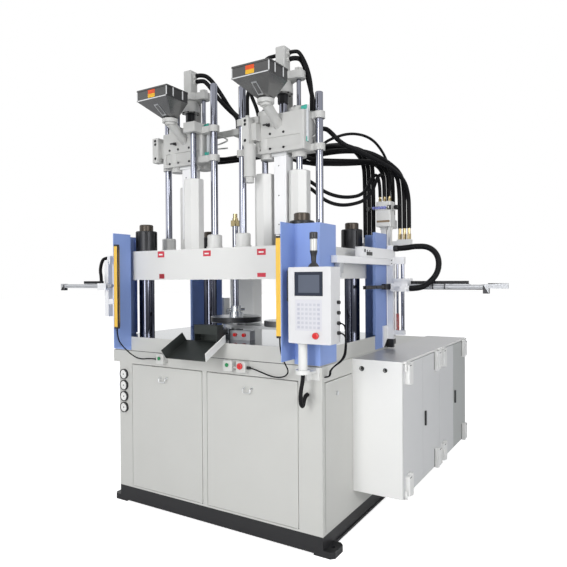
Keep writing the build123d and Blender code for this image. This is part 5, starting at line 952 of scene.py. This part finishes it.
def dress_floor():
    """Floor, backdrop and light: seen directly the backdrop is white, and the floor keeps its shadow."""
    floor_mat = bpy.data.materials.new("floor")
    floor_mat.use_nodes = True
    tree = floor_mat.node_tree
    shader = tree.nodes["Principled BSDF"]
    shader.inputs["Base Color"].default_value = (0.88, 0.88, 0.88, 1)
    shader.inputs["Roughness"].default_value = 0.9
    shader.inputs["Specular IOR Level"].default_value = 0.1
    shader.inputs["Emission Color"].default_value = (1, 1, 1, 1)
    seen = tree.nodes.new("ShaderNodeLightPath")
    lift = tree.nodes.new("ShaderNodeMath")
    lift.operation = "MULTIPLY"
    lift.inputs[1].default_value = floor_lift
    tree.links.new(seen.outputs["Is Camera Ray"], lift.inputs[0])
    tree.links.new(lift.outputs[0], shader.inputs["Emission Strength"])
    mesh = bpy.data.meshes.new("floor")
    reach, low = 40, -0.001
    corners = [(-reach, -reach, low), (reach, -reach, low), (reach, reach, low), (-reach, reach, low)]
    mesh.from_pydata(corners, [], [(0, 1, 2, 3)])
    floor = bpy.data.objects.new("floor", mesh)
    bpy.context.collection.objects.link(floor)
    floor.data.materials.append(floor_mat)
    world = bpy.data.worlds.new("studio")
    bpy.context.scene.world = world
    world.use_nodes = True
    tree = world.node_tree
    tree.nodes.clear()
    out = tree.nodes.new("ShaderNodeOutputWorld")
    path = tree.nodes.new("ShaderNodeLightPath")
    room = tree.nodes.new("ShaderNodeBackground")
    room.inputs["Color"].default_value = (0.95, 0.97, 1.0, 1)
    room.inputs["Strength"].default_value = room_light
    white = tree.nodes.new("ShaderNodeBackground")
    white.inputs["Color"].default_value = (1, 1, 1, 1)
    white.inputs["Strength"].default_value = 1.0
    glossy = tree.nodes.new("ShaderNodeMath")
    glossy.operation = "MAXIMUM"
    clear = tree.nodes.new("ShaderNodeMath")
    clear.operation = "MAXIMUM"
    tree.links.new(path.outputs["Is Camera Ray"], glossy.inputs[0])
    tree.links.new(path.outputs["Is Glossy Ray"], glossy.inputs[1])
    tree.links.new(glossy.outputs[0], clear.inputs[0])
    tree.links.new(path.outputs["Is Transmission Ray"], clear.inputs[1])
    mix = tree.nodes.new("ShaderNodeMixShader")
    tree.links.new(clear.outputs[0], mix.inputs[0])
    tree.links.new(room.outputs[0], mix.inputs[1])
    tree.links.new(white.outputs[0], mix.inputs[2])
    tree.links.new(mix.outputs[0], out.inputs["Surface"])
    add_light("key", (0.5, -6.0, 2.3), (0, -0.4, 1.4), key_light, (1.4, 3.4))
    add_light("left", (-5.0, -3.0, 3.4), (0, -0.4, 1.4), 34, (2.4, 2.4))
    add_light("top", (0.3, -0.6, 6.2), (0, -0.2, 1.0), 22, (3.0, 3.0))
    add_light("right", (5.0, -3.0, 2.4), (0.4, 0, 1.2), 100, (2.0, 2.0))


def add_light(name, place, aim, power, size):
    """A soft light, its size across and along."""
    data = bpy.data.lights.new(name, "AREA")
    data.shape = "RECTANGLE"
    data.energy = power
    data.size, data.size_y = size
    obj = bpy.data.objects.new(name, data)
    bpy.context.collection.objects.link(obj)
    obj.location = place
    obj.rotation_euler = (Vector(place) - Vector(aim)).to_track_quat("Z", "Y").to_euler()


set_camera()
lay_cords()
smooth_nodes()
paint_base()
paint_table()
paint_clamp()
paint_unit(1)
paint_unit(2)
paint_panel()
paint_cabinet()
paint_take_out()
dress_platen()
dress_hopper(1)
dress_hopper(2)
dress_unit(1)
dress_unit(2)
dress_brackets()
dress_manifold()
dress_take_out()
dress_doors()
dress_panel()
dress_floor()
bpy.context.scene.view_settings.view_transform = "Standard"
